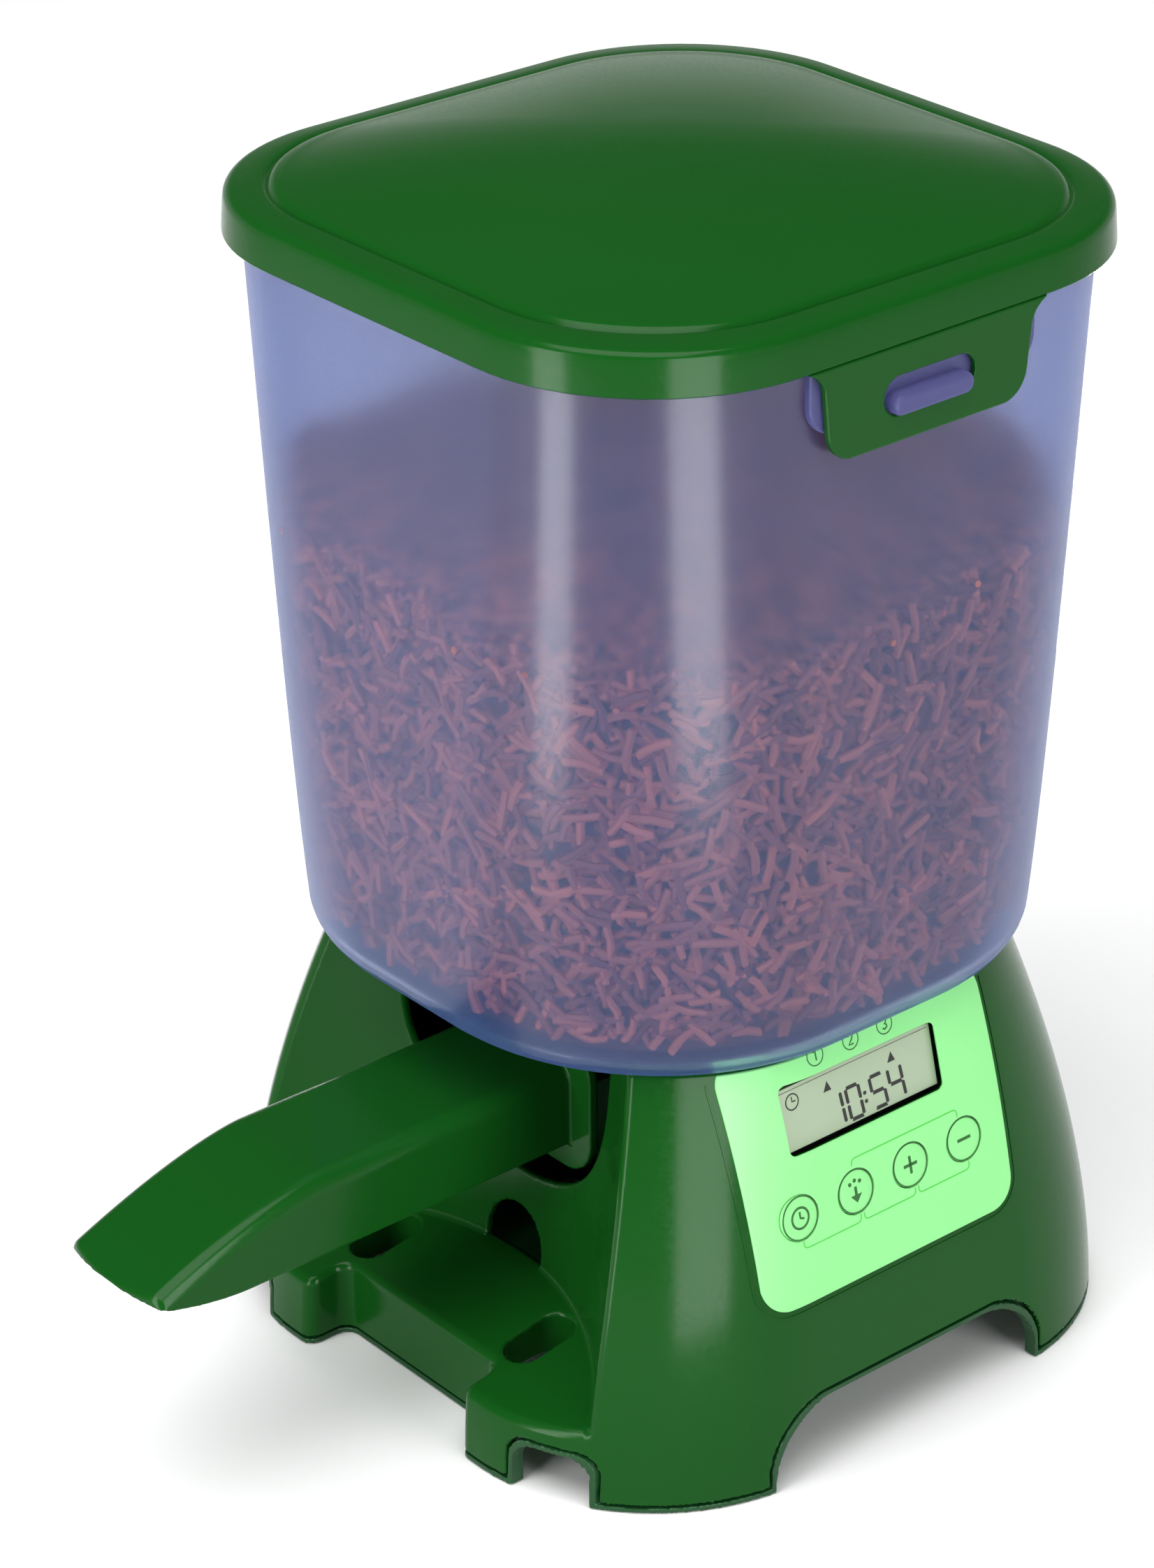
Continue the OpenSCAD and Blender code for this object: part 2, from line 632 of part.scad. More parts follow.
module casing_screws() color("silver") for (p = cover_screws) translate([p[0], p[1], cover_z]) {
  translate([0, 0, -2]) difference() {
    cylinder(h = 2, r = 3.6);
    translate([-0.5, -2.4, -1]) cube([1, 4.8, 2]);
    translate([-2.4, -0.5, -1]) cube([4.8, 1, 2]);
  }
  translate([0, 0, -0.1]) cylinder(h = 13, r = 1.9);
}

lid();
lid_seal();
lid_tab_right();
lid_tab_left();
hopper();
food_fill();
housing();
base_cover();
control_panel();
lcd_glass();
lcd_frame();
control_board();
tact_switches();
time_button();
feed_button();
plus_button();
minus_button();
feed_tube();
feed_screw();
spout();
front_bush();
rear_bush();
output_gear();
second_gear();
first_gear();
motor_pinion();
motor();
motor_end_cap();
gearbox_front_plate();
gearbox_rear_plate();
gearbox_pillars();
gear_spindles();
gearbox_screws();
battery_box();
batteries();
battery_contacts();
battery_springs();
battery_door();
door_seal();
casing_screws();
tube_screws();
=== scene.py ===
"""Automatic pond fish feeder: the looks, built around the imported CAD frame. Shape numbers are millimetres."""

import json
import math

import bmesh
import bpy
import numpy as np
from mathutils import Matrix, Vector


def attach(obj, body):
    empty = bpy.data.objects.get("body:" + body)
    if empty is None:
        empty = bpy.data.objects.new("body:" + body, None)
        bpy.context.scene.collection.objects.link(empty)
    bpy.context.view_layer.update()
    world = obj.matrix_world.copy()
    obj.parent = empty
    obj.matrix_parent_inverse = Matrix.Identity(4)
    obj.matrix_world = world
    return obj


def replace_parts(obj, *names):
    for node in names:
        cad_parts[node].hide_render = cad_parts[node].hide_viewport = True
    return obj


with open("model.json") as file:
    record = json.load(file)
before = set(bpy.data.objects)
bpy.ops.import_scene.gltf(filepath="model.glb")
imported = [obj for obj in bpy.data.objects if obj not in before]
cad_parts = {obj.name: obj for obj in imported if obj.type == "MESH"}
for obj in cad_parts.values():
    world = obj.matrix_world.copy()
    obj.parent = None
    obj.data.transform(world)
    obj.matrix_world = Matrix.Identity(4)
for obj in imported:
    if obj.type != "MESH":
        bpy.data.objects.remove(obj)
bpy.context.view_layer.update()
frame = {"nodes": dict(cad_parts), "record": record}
NODES = frame["nodes"]
MM = 0.001
RNG = np.random.default_rng(20)

# ---- Numbers shared with the CAD source, in millimetres ----
FOOT_HALF, FLARE, CASING_H, CASING_R, WALL = 112.0, 22.5, 127.0, 68.0, 2.6
RECESS_Y, RECESS_R, RECESS_DRAFT = -163.5, 99.5, 0.1
SHELF_Z, SHELF_RISE = 22.3, 0.17        # height at the front, and rise per mm inwards
FACE_Z, FACE_TILT = 96.0, math.radians(14)
PANEL_Y, PANEL_Z = -6.5, 93.5
BUTTON_Y = [-7 + (i - 1.5) * 21.5 for i in range(4)]
BUTTON_V, LCD_Y, LCD_V = -14.0, -9.0, 14.2
RIM_H, SEAM = 1.6, 0.7
HOPPER_Z, HOPPER_TOP, HOPPER_WALL, HOPPER_FLOOR = 127.5, 349.6, 2.4, 2.6
LID_Z = 341.3
SPOUT_Z = 90.0
COVER_SCREWS = [(s * x, y) for s in (-1, 1) for x, y in ((93, -66), (82, 86))]


# ---------------------------------------------------------------- materials
GRAIN_DEPTH = 0.0004        # metres


def new_material(name):
    mat = bpy.data.materials.new(name)
    mat.use_nodes = True
    nodes, links = mat.node_tree.nodes, mat.node_tree.links
    nodes.clear()
    out = nodes.new("ShaderNodeOutputMaterial")
    return mat, nodes, links, out


def object_noise(nodes, links, scale, detail=3.0, stretch=(1, 1, 1)):
    coord = nodes.new("ShaderNodeTexCoord")
    mapping = nodes.new("ShaderNodeMapping")
    mapping.inputs["Scale"].default_value = stretch
    noise = nodes.new("ShaderNodeTexNoise")
    noise.inputs["Scale"].default_value = scale
    noise.inputs["Detail"].default_value = detail
    links.new(coord.outputs["Object"], mapping.inputs["Vector"])
    links.new(mapping.outputs["Vector"], noise.inputs["Vector"])
    return noise


def ramp(nodes, links, fac, a, b, low=0.35, high=0.65):
    r = nodes.new("ShaderNodeMapRange")
    r.inputs["From Min"].default_value, r.inputs["From Max"].default_value = low, high
    r.inputs["To Min"].default_value, r.inputs["To Max"].default_value = a, b
    links.new(fac, r.inputs["Value"])
    return r.outputs["Result"]


def color_mix(nodes, links, fac, a, b):
    m = nodes.new("ShaderNodeMix")
    m.data_type = "RGBA"
    m.inputs[6].default_value, m.inputs[7].default_value = (*a, 1), (*b, 1)
    links.new(fac, m.inputs[0])
    return m.outputs[2]


def shader_mix(nodes, links, fac, a, b):
    m = nodes.new("ShaderNodeMixShader")
    if isinstance(fac, float):
        m.inputs["Fac"].default_value = fac
    else:
        links.new(fac, m.inputs["Fac"])
    links.new(a, m.inputs[1])
    links.new(b, m.inputs[2])
    return m.outputs["Shader"]


def fine_bump(nodes, links, noise, strength, bsdf):
    b = nodes.new("ShaderNodeBump")
    b.inputs["Strength"].default_value, b.inputs["Distance"].default_value = strength, GRAIN_DEPTH
    links.new(noise.outputs["Fac"], b.inputs["Height"])
    links.new(b.outputs["Normal"], bsdf.inputs["Normal"])


def surface(name, dark, light, rough, metal=0.0, coat=0.0, grain=260.0, bump=0.03, blotch=14.0,
            stretch=(1, 1, 1), specular=0.5):
    """A principled surface with a slow colour change, a finer roughness change and a fine bump."""
    mat, nodes, links, out = new_material(name)
    bsdf = nodes.new("ShaderNodeBsdfPrincipled")
    bsdf.inputs["Metallic"].default_value = metal
    bsdf.inputs["Coat Weight"].default_value = coat
    bsdf.inputs["Coat Roughness"].default_value = 0.06
    bsdf.inputs["Specular IOR Level"].default_value = specular
    slow = object_noise(nodes, links, blotch)
    links.new(color_mix(nodes, links, slow.outputs["Fac"], dark, light), bsdf.inputs["Base Color"])
    fine = object_noise(nodes, links, grain, 2.0, stretch)
    links.new(ramp(nodes, links, fine.outputs["Fac"], rough * 0.8, rough * 1.25), bsdf.inputs["Roughness"])
    fine_bump(nodes, links, fine, bump, bsdf)
    links.new(bsdf.outputs["BSDF"], out.inputs["Surface"])
    return mat


def frosted(name, through, haze, veil):
    """Frosted plastic: rough and see-through under a thin veil, so that only what touches it looks sharp."""
    mat, nodes, links, out = new_material(name)
    slow = object_noise(nodes, links, 9.0)
    bsdf = nodes.new("ShaderNodeBsdfPrincipled")
    bsdf.inputs["Transmission Weight"].default_value = 1.0
    bsdf.inputs["IOR"].default_value = 1.4
    bsdf.inputs["Specular IOR Level"].default_value = 0.15
    tint = color_mix(nodes, links, slow.outputs["Fac"], [c * 0.98 for c in through], through)
    links.new(tint, bsdf.inputs["Base Color"])
    links.new(ramp(nodes, links, slow.outputs["Fac"], 0.19, 0.22), bsdf.inputs["Roughness"])
    diffuse = nodes.new("ShaderNodeBsdfDiffuse")
    glow = nodes.new("ShaderNodeBsdfTranslucent")
    colour = color_mix(nodes, links, slow.outputs["Fac"], [c * 0.96 for c in haze], haze)
    links.new(colour, diffuse.inputs["Color"])
    links.new(colour, glow.inputs["Color"])
    cloudy = shader_mix(nodes, links, 0.5, diffuse.outputs["BSDF"], glow.outputs["BSDF"])
    facing = nodes.new("ShaderNodeLayerWeight")
    facing.inputs["Blend"].default_value = 0.5
    cover = ramp(nodes, links, facing.outputs["Facing"], veil, veil + 0.35, 0.3, 1.0)
    layered = shader_mix(nodes, links, cover, bsdf.outputs["BSDF"], cloudy)
    # Light passes through to what is inside, tinted by the wall
    shade = nodes.new("ShaderNodeBsdfTransparent")
    shade.inputs["Color"].default_value = (*[c * (1 - veil) for c in through], 1)
    path = nodes.new("ShaderNodeLightPath")
    final = shader_mix(nodes, links, path.outputs["Is Shadow Ray"], layered, shade.outputs["BSDF"])
    links.new(final, out.inputs["Surface"])
    return mat


def stick_material(name):
    """Food sticks, each with a tone of its own."""
    mat, nodes, links, out = new_material(name)
    bsdf = nodes.new("ShaderNodeBsdfPrincipled")
    tone = nodes.new("ShaderNodeAttribute")
    tone.attribute_name = "tone"
    links.new(color_mix(nodes, links, tone.outputs["Fac"], (0.17, 0.026, 0.010), (0.92, 0.25, 0.085)),
              bsdf.inputs["Base Color"])
    fine = object_noise(nodes, links, 900.0, 2.0)
    links.new(ramp(nodes, links, fine.outputs["Fac"], 0.6, 0.85), bsdf.inputs["Roughness"])
    fine_bump(nodes, links, fine, 0.35, bsdf)
    links.new(bsdf.outputs["BSDF"], out.inputs["Surface"])
    return mat


GREEN = surface("green_gloss", (0.004, 0.064, 0.006), (0.005, 0.069, 0.007), 0.17, grain=900.0, bump=0.004,
                specular=0.13)
DARK_GREEN = surface("dark_green", (0.005, 0.050, 0.011), (0.007, 0.060, 0.014), 0.42, specular=0.3)
CLEAR = frosted("hopper_frosted", (0.58, 0.61, 0.76), (0.12, 0.20, 0.50), 0.17)
LUG = frosted("hopper_lug", (0.60, 0.62, 0.76), (0.20, 0.20, 0.46), 0.62)
STICKS = stick_material("food_stick")
FOOD_CORE = surface("food_core", (0.07, 0.02, 0.012), (0.16, 0.045, 0.025), 0.9, blotch=260.0, grain=700.0,
                    bump=0.5)
RUBBER = surface("black_rubber", (0.012, 0.012, 0.012), (0.025, 0.025, 0.025), 0.75, grain=700.0, bump=0.2)
MINT = surface("mint_overlay", (0.24, 0.72, 0.24), (0.26, 0.75, 0.26), 0.42, grain=900.0, bump=0.03,
               specular=0.35)
PRINT = surface("panel_print", (0.006, 0.09, 0.008), (0.010, 0.12, 0.012), 0.5)
PALE_PRINT = surface("panel_line", (0.06, 0.50, 0.05), (0.08, 0.56, 0.07), 0.5)
LCD = surface("lcd_grey", (0.315, 0.405, 0.265), (0.335, 0.425, 0.285), 0.2, coat=0.5, blotch=30.0, bump=0.0)
INK = surface("lcd_segment", (0.004, 0.004, 0.004), (0.010, 0.010, 0.010), 0.3)
BLACK = surface("black_plastic", (0.010, 0.010, 0.010), (0.020, 0.020, 0.022), 0.38, bump=0.08)
BOARD = surface("circuit_board", (0.006, 0.075, 0.022), (0.012, 0.12, 0.040), 0.34, blotch=120.0, coat=0.2)
ACETAL = surface("natural_acetal", (0.72, 0.70, 0.63), (0.80, 0.78, 0.71), 0.36, bump=0.04)
STEEL = surface("zinc_steel", (0.50, 0.51, 0.53), (0.66, 0.67, 0.68), 0.30, metal=1.0, blotch=60.0,
                stretch=(1, 12, 1))
BRASS = surface("turned_brass", (0.62, 0.42, 0.16), (0.80, 0.60, 0.28), 0.24, metal=1.0, blotch=50.0)
BRONZE = surface("sintered_bronze", (0.33, 0.18, 0.08), (0.48, 0.28, 0.13), 0.5, metal=1.0, grain=1400.0,
                 bump=0.3)
CELL = surface("cell_sleeve", (0.012, 0.012, 0.016), (0.030, 0.030, 0.036), 0.22, coat=0.4, blotch=30.0)

SLOT_MATERIAL = {"green_plastic": GREEN, "dark_green_plastic": DARK_GREEN, "hopper_clear": CLEAR,
                 "food": FOOD_CORE, "seal_rubber": RUBBER, "panel_mint": MINT, "lcd": LCD,
                 "black_plastic": BLACK, "board": BOARD, "gear_plastic": ACETAL, "steel": STEEL,
                 "brass": BRASS, "bronze": BRONZE, "cell_wrap": CELL}
for part in frame["record"]["subparts"]:
    mesh = NODES[part["node"]].data
    mesh.materials.clear()
    mesh.materials.append(SLOT_MATERIAL[part["material_slot"]])


# ---------------------------------------------------------------- mesh tools
DRAW_STEPS = 4              # Newton steps onto a sculpted surface
SMOOTH_COS = 0.72           # a corner keeps its flat normal where the surface turns by more than this


def piece(name, verts, faces, body, material, sharp=None):
    """A mesh piece from points in millimetres, which rides on a body."""
    mesh = bpy.data.meshes.new(name)
    faces = faces if isinstance(faces, list) else faces.tolist()
    mesh.from_pydata((np.asarray(verts, float) * MM).tolist(), [], faces)
    mesh.polygons.foreach_set("use_smooth", np.ones(len(mesh.polygons), bool))
    if sharp is not None:
        mesh.set_sharp_from_angle(angle=math.radians(sharp))
    mesh.materials.append(material)
    ob = bpy.data.objects.new(name, mesh)
    bpy.context.scene.collection.objects.link(ob)
    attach(ob, body)
    return ob


def outward(ob, sharp, weld=0.0):
    """Turns the faces outwards, joins points closer than weld metres, and marks edges over sharp degrees."""
    bm = bmesh.new()
    bm.from_mesh(ob.data)
    if weld:
        bmesh.ops.remove_doubles(bm, verts=bm.verts, dist=weld)
    bmesh.ops.recalc_face_normals(bm, faces=bm.faces)
    bm.to_mesh(ob.data)
    bm.free()
    ob.data.set_sharp_from_angle(angle=math.radians(sharp))
    return ob


def nets(f, lo, hi, step):
    """The surface f = 0 in the box lo..hi as points, one in each grid cell that it crosses, and quads."""
    lo, step = np.asarray(lo, float), np.broadcast_to(np.asarray(step, float), 3)
    n = np.ceil((np.asarray(hi, float) - lo) / step).astype(int) + 1
    ax = [(lo[i] + step[i] * np.arange(n[i])).astype(np.float32) for i in range(3)]
    v = f(ax[0][:, None, None], ax[1][None, :, None], ax[2][None, None, :])
    v = np.broadcast_to(v, n).astype(np.float32)
    ins = v < 0
    corners = [(a, b, c) for a in (0, 1) for b in (0, 1) for c in (0, 1)]
    count = sum(ins[a:n[0] - 1 + a, b:n[1] - 1 + b, c:n[2] - 1 + c].astype(np.int8) for a, b, c in corners)
    active = (count > 0) & (count < 8)
    cells = np.argwhere(active)
    index = np.full(active.shape, -1, np.int32)
    index[active] = np.arange(len(cells))
    vals = np.stack([v[cells[:, 0] + a, cells[:, 1] + b, cells[:, 2] + c] for a, b, c in corners], 1)
    total, hits = np.zeros((len(cells), 3)), np.zeros(len(cells))
    for i in range(8):
        for k in range(3):
            if corners[i][k] == 0:
                j = i + (4, 2, 1)[k]
                va, vb = vals[:, i], vals[:, j]
                cut = (va < 0) != (vb < 0)
                t = np.where(cut, va / np.where(cut, va - vb, 1), 0)
                p = np.repeat(np.array([corners[i]], float), len(cells), 0)
                p[:, k] += t
                total += p * cut[:, None]
                hits += cut
    points = lo + (cells + total / hits[:, None]) * step
    # A quad round each grid edge that crosses the surface
    quads = []
    for k in range(3):
        b, c = (k + 1) % 3, (k + 2) % 3
        first, second = [slice(None)] * 3, [slice(None)] * 3
        first[k], second[k] = slice(0, n[k] - 1), slice(1, n[k])
        for o in (b, c):
            first[o] = second[o] = slice(1, n[o] - 1)
        s0, s1 = ins[tuple(first)], ins[tuple(second)]
        where = np.argwhere(s0 != s1)
        out = s0[tuple(where.T)]
        at = where.copy()
        at[:, b] += 1
        at[:, c] += 1
        turn = []
        for db, dc in ((-1, -1), (0, -1), (0, 0), (-1, 0)):
            q = at.copy()
            q[:, b] += db
            q[:, c] += dc
            turn.append(index[tuple(q.T)])
        turn = np.stack(turn, 1)
        quads.append(np.where(out[:, None], turn, turn[:, ::-1]))
    return points, np.concatenate(quads)


def slope(f, p, e=0.04):
    """The gradient of f at each point."""
    g = np.zeros_like(p)
    for k in range(3):
        d = np.zeros(3)
        d[k] = e
        g[:, k] = (f(*(p + d).T) - f(*(p - d).T)) / (2 * e)
    return g


def sculpt(name, f, lo, hi, step, body, material, triangles=None, warp=None):
    """A piece whose surface is f = 0. Points are drawn onto it, and normals follow it except at edges."""
    points, quads = nets(f, lo, hi, step)
    cell = np.broadcast_to(np.asarray(step, float), 3)
    for _ in range(DRAW_STEPS):
        g = slope(f, points)
        move = f(*points.T)[:, None] * g / np.maximum((g * g).sum(1), 1e-3)[:, None]
        points = points - np.clip(move, -0.6 * cell, 0.6 * cell)
    if warp:
        points = warp(points)
    ob = piece(name, points, quads, body, material)
    if triangles and 2 * len(quads) > triangles:
        thin = ob.modifiers.new("thin", "DECIMATE")
        thin.ratio = triangles / (2 * len(quads))
        bpy.context.view_layer.update()
        mesh = bpy.data.meshes.new_from_object(ob.evaluated_get(bpy.context.evaluated_depsgraph_get()))
        ob.modifiers.clear()
        old, ob.data = ob.data, mesh
        bpy.data.meshes.remove(old)
        mesh.name = name
    mesh = ob.data
    if warp:
        mesh.set_sharp_from_angle(angle=math.radians(40))
        return ob
    co = np.zeros(len(mesh.vertices) * 3)
    mesh.vertices.foreach_get("co", co)
    g = slope(f, co.reshape(-1, 3) / MM)
    g /= np.maximum(np.linalg.norm(g, axis=1), 1e-9)[:, None]
    vertex = np.zeros(len(mesh.loops), np.int32)
    mesh.loops.foreach_get("vertex_index", vertex)
    faces = np.zeros(len(mesh.polygons) * 3)
    mesh.polygons.foreach_get("normal", faces)
    sizes = np.zeros(len(mesh.polygons), np.int32)
    mesh.polygons.foreach_get("loop_total", sizes)
    flat = np.repeat(faces.reshape(-1, 3), sizes, 0)
    smooth = g[vertex]
    keep = (flat * smooth).sum(1) > SMOOTH_COS
    mesh.normals_split_custom_set(np.where(keep[:, None], smooth, flat).tolist())
    return ob


def rmax(a, b, r):
    """Where both shapes are, with the edge between them rounded to radius r."""
    ua, ub = np.maximum(a + r, 0), np.maximum(b + r, 0)
    return np.minimum(np.maximum(a, b), -r) + np.sqrt(ua * ua + ub * ub)


def rmin(a, b, r):
    """Both shapes together, with the corner between them filled to radius r."""
    return -rmax(-a, -b, r)


def rect(u, v, hu, hv, r):
    """Distance to a rounded rectangle about the origin."""
    qu, qv = np.abs(u) - hu + r, np.abs(v) - hv + r
    return np.hypot(np.maximum(qu, 0), np.maximum(qv, 0)) + np.minimum(np.maximum(qu, qv), 0) - r


def ring(half, r, z, steps):
    """One rounded square at height z."""
    r = min(r, half - 0.004)
    a = (np.repeat(np.arange(4), steps + 1) + np.tile(np.arange(steps + 1) / steps, 4)) * math.pi / 2
    sx = np.repeat([1, -1, -1, 1], steps + 1)
    sy = np.repeat([1, 1, -1, -1], steps + 1)
    x, y = sx * (half - r) + r * np.cos(a), sy * (half - r) + r * np.sin(a)
    return np.stack([x, y, np.full(len(a), z)], 1)


def loft(name, rings, body, material, closed=False, steps=20, sharp=32):
    """A piece through a stack of rounded squares [half width, corner radius, height]."""
    n, m = 4 * (steps + 1), len(rings)
    verts = np.concatenate([ring(*r, steps) for r in rings])
    i = np.arange(n)
    j = (i + 1) % n
    faces = []
    for k in range(m if closed else m - 1):
        q = (k + 1) % m
        faces += np.stack([k * n + i, k * n + j, q * n + j, q * n + i], 1).tolist()
    if not closed:
        faces += [i[::-1].tolist(), ((m - 1) * n + i).tolist()]
    return outward(piece(name, verts, faces, body, material), sharp, weld=2e-5)


def arc(c_half, c_z, r, a0, a1, radius, n=5):
    """Rings along a quarter fillet: centre, radius, angles in degrees from outwards to up."""
    angles = [math.radians(a0 + (a1 - a0) * k / n) for k in range(n + 1)]
    return [[c_half + r * math.cos(a), radius + r * (math.cos(a) - 1), c_z + r * math.sin(a)] for a in angles]


# ---------------------------------------------------------------- casing
SIDE_SLOPE, SHELF_SLOPE = 0.975, 0.986      # keep distances true on the leaning wall and the shelf
EDGE, INNER_CORNER = 4.0, 2.4               # fillets at the notch and along the recess
SEAT_R, SEAT_Z = 80.6, 117                  # opening for the hopper
MOUTH_R, MOUTH_Z = 47, 105.5                # opening for the spout
LEAD_R, LEAD_Z, LEAD_FLOOR = 12.4, 34.2, 30.6
KEY_HOLE_R, WINDOW = 7.1, (31, 11, 1.5)
BOSS_R, SCREW_HOLE_R = 4.6, 2.1
COVER_TOP, COVER_SKIN, SHELF_GAP = 27.6, 1.8, 5.6
BAY_X, BAY_HALF, DOOR_Z = -58, (27, 53), 20.6


def half_at(z):
    """Half the casing's width at a height."""
    return FOOT_HALF - FLARE * np.power(np.maximum(z, 0) / CASING_H, 1.72)


def casing(x, y, z):
    h = half_at(z)
    return rect(x, y, h, h, CASING_R) * SIDE_SLOPE


def recess_wall(x, y, z):
    return np.hypot(x, y - RECESS_Y) - (RECESS_R + RECESS_DRAFT * z)


def shelf_at(y):
    return SHELF_Z + SHELF_RISE * (y + FOOT_HALF)


def recess(x, y, z):
    """The hollow at the front, over the sloped shelf."""
    return rmax(recess_wall(x, y, z), (shelf_at(y) - z) * SHELF_SLOPE, 1.3)


def notch(x, y):
    """The shelf's front edge, set back between the two front legs."""
    return rmax(np.abs(x) - 36, y + 97, 5.0)


def mass(x, y, z):
    """The casing as a solid, before it is hollowed and opened."""
    body = rmax(casing(x, y, z), -notch(x, y), EDGE)
    return rmax(body, -recess(x, y, z), INNER_CORNER)


def arch(u, z, half, height, r, d):
    """An opening under a foot edge, rounded at the top, grown by d."""
    qu, qz = np.abs(u) - (half + d - r), z - (height + d - r)
    return np.hypot(np.maximum(qu, 0), np.maximum(qz, 0)) + np.minimum(np.maximum(qu, qz), 0) - r


def arches(x, y, z, d):
    side = arch(y + 3, z, 52, 24.5, 22, d)
    back = np.maximum(arch(x, z, 54, 24.5, 16, d), 40 - y)
    small = np.maximum(arch(np.abs(x) - 69.5, z, 11.5, 15.5, 7, d), y + 78)
    return np.minimum(np.minimum(side, back), small)


def face_frame(x, z):
    """Height above the control face and distance up it."""
    dx, dz = x - half_at(FACE_Z), z - FACE_Z
    c, s = math.cos(FACE_TILT), math.sin(FACE_TILT)
    return dx * c + dz * s, dz * c - dx * s


def slots(x, y):
    """The two long holes in the shelf."""
    return np.hypot(np.abs(x) - 36.5, np.maximum(np.abs(y + 81.7) - 5.5, 0)) - 6.2


def housing_shape(x, y, z):
    solid = mass(x, y, z)
    shell = rmax(solid, z - CASING_H, 1.4)
    inner = np.maximum(solid + WALL, z - (CASING_H - WALL))
    shell = rmax(shell, -inner, 0.4)
    collar = np.maximum(np.maximum(slots(x, y) - 1.8, 15 - z), z - shelf_at(y) + 1)
    shell = rmin(shell, collar, 0.8)
    for bx, by in COVER_SCREWS:
        boss = np.maximum(np.maximum(np.hypot(x - bx, y - by) - BOSS_R, 27.7 - z), z - 69.7)
        shell = np.minimum(shell, np.maximum(boss, solid + 1))
    shell = rmax(shell, RIM_H + SEAM - z, 0.3)
    shell = rmax(shell, -arches(x, y, z, RIM_H + SEAM), 0.4)
    seat = np.maximum(np.hypot(x, y) - SEAT_R, SEAT_Z - z)
    mouth = np.maximum(np.hypot(x, np.minimum(z - MOUTH_Z, 0)) - MOUTH_R, np.abs(y + 60) - 20)
    lead = np.hypot(x, np.maximum(z - LEAD_Z, 0)) - LEAD_R
    lead = np.maximum(np.maximum(lead, LEAD_FLOOR - z), np.abs(y + 55) - 12)
    drains = np.maximum(slots(x, y), 10 - z)
    out, up = face_frame(x, z)
    keys = np.hypot(y - BUTTON_Y[0], up - BUTTON_V)
    for by in BUTTON_Y[1:]:
        keys = np.minimum(keys, np.hypot(y - by, up - BUTTON_V))
    keys = np.maximum(keys - KEY_HOLE_R, -12 - out)
    window = np.maximum(rect(y - LCD_Y, up - LCD_V, *WINDOW), -8 - out)
    for opening, r in ((seat, 0.8), (mouth, 0.9), (lead, 0.6), (drains, 1.1), (keys, 0.1), (window, 0.1)):
        shell = rmax(shell, -opening, r)
    return shell


def cover_shape(x, y, z):
    solid = mass(x, y, z)
    inner = np.maximum(solid + WALL + COVER_SKIN, z - 25)
    shell = np.maximum(np.maximum(solid, -z), np.maximum(z - COVER_TOP, -inner))
    upper = np.maximum(RIM_H - z, -(solid + WALL + 0.5))
    shell = np.maximum(shell, -np.maximum(upper, -arches(x, y, z, RIM_H)))
    shell = np.maximum(shell, -arches(x, y, z, 0.0))
    under_shelf = np.maximum(recess_wall(x, y, z), shelf_at(y) - z) - SHELF_GAP
    shell = np.maximum(shell, -under_shelf)
    bay = np.maximum(np.maximum(np.abs(x - BAY_X) - BAY_HALF[0], np.abs(y) - BAY_HALF[1]), 20 - z)
    shell = np.maximum(shell, -bay)
    for bx, by in COVER_SCREWS:
        shell = np.maximum(shell, -(np.hypot(x - bx, y - by) - SCREW_HOLE_R))
    # Rails and lips for the battery door
    for y0 in (-59.2, 59.2):
        rail = np.maximum(np.abs(x + 59) - 29, np.abs(y - y0) - 1)
        rail = np.maximum(rail, np.maximum(DOOR_Z - z, z - 25.1))
        lip_y = y0 - math.copysign(2.8, y0)
        lip = np.maximum(np.abs(x + 59) - 29, np.abs(y - lip_y) - 1.9)
        lip = np.maximum(lip, np.maximum(DOOR_Z - z, z - 21.6))
        shell = np.minimum(shell, np.minimum(rail, lip))
    return shell


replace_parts(sculpt("casing_shell", housing_shape, (-113.5, -113.5, 1.2), (113.5, 113.5, 128.2), 1.05,
                   "casing", GREEN, triangles=196000), "housing")
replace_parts(sculpt("cover_tray", cover_shape, (-113.3, -113.3, -0.9), (113.3, 113.3, 28.6), 0.8,
                   "casing", DARK_GREEN, triangles=120000), "base_cover")


# ---------------------------------------------------------------- control panel
OVERLAY = 0.72                          # the overlay's thickness
OUTWARDS, UPWARDS = 1.03, 0.97          # runs along X and Z for a run along the leaning face's own axes
OVERLAY_HALF, OVERLAY_R = (48.5, 37), 9
OVERLAY_WINDOW, OVERLAY_HOLE_R = (29.6, 10.4, 2.2), 7.0
LINE_BACK, LINE_FRONT = -0.02, 0.05     # printed lines, from the overlay's face
RING_UP, RING_R = 30.0, 2.9


def face_x(y, z):
    """Where the casing's outer surface is on the control side."""
    h = half_at(z)
    return h - CASING_R + np.sqrt(CASING_R ** 2 - np.maximum(np.abs(y) - (h - CASING_R), 0) ** 2)


def up_to_z(up):
    """Height of a point some way up the control face."""
    return FACE_Z + up * math.cos(FACE_TILT)


def panel_shape(u, y, z):
    """The overlay before it is curved, u being the depth."""
    plate = np.abs(u - OVERLAY / 2) - OVERLAY / 2
    outline = rect(y - PANEL_Y, z - PANEL_Z, *OVERLAY_HALF, OVERLAY_R)
    outline = np.maximum(outline, z - (CASING_H - 0.8))
    holes = rect(y - LCD_Y, (z - up_to_z(LCD_V)) / UPWARDS, *OVERLAY_WINDOW)
    for by in BUTTON_Y:
        holes = np.minimum(holes, np.hypot(y - by, (z - up_to_z(BUTTON_V)) / UPWARDS) - OVERLAY_HOLE_R)
    return rmax(rmax(plate, outline, 0.2), -holes, 0.15)


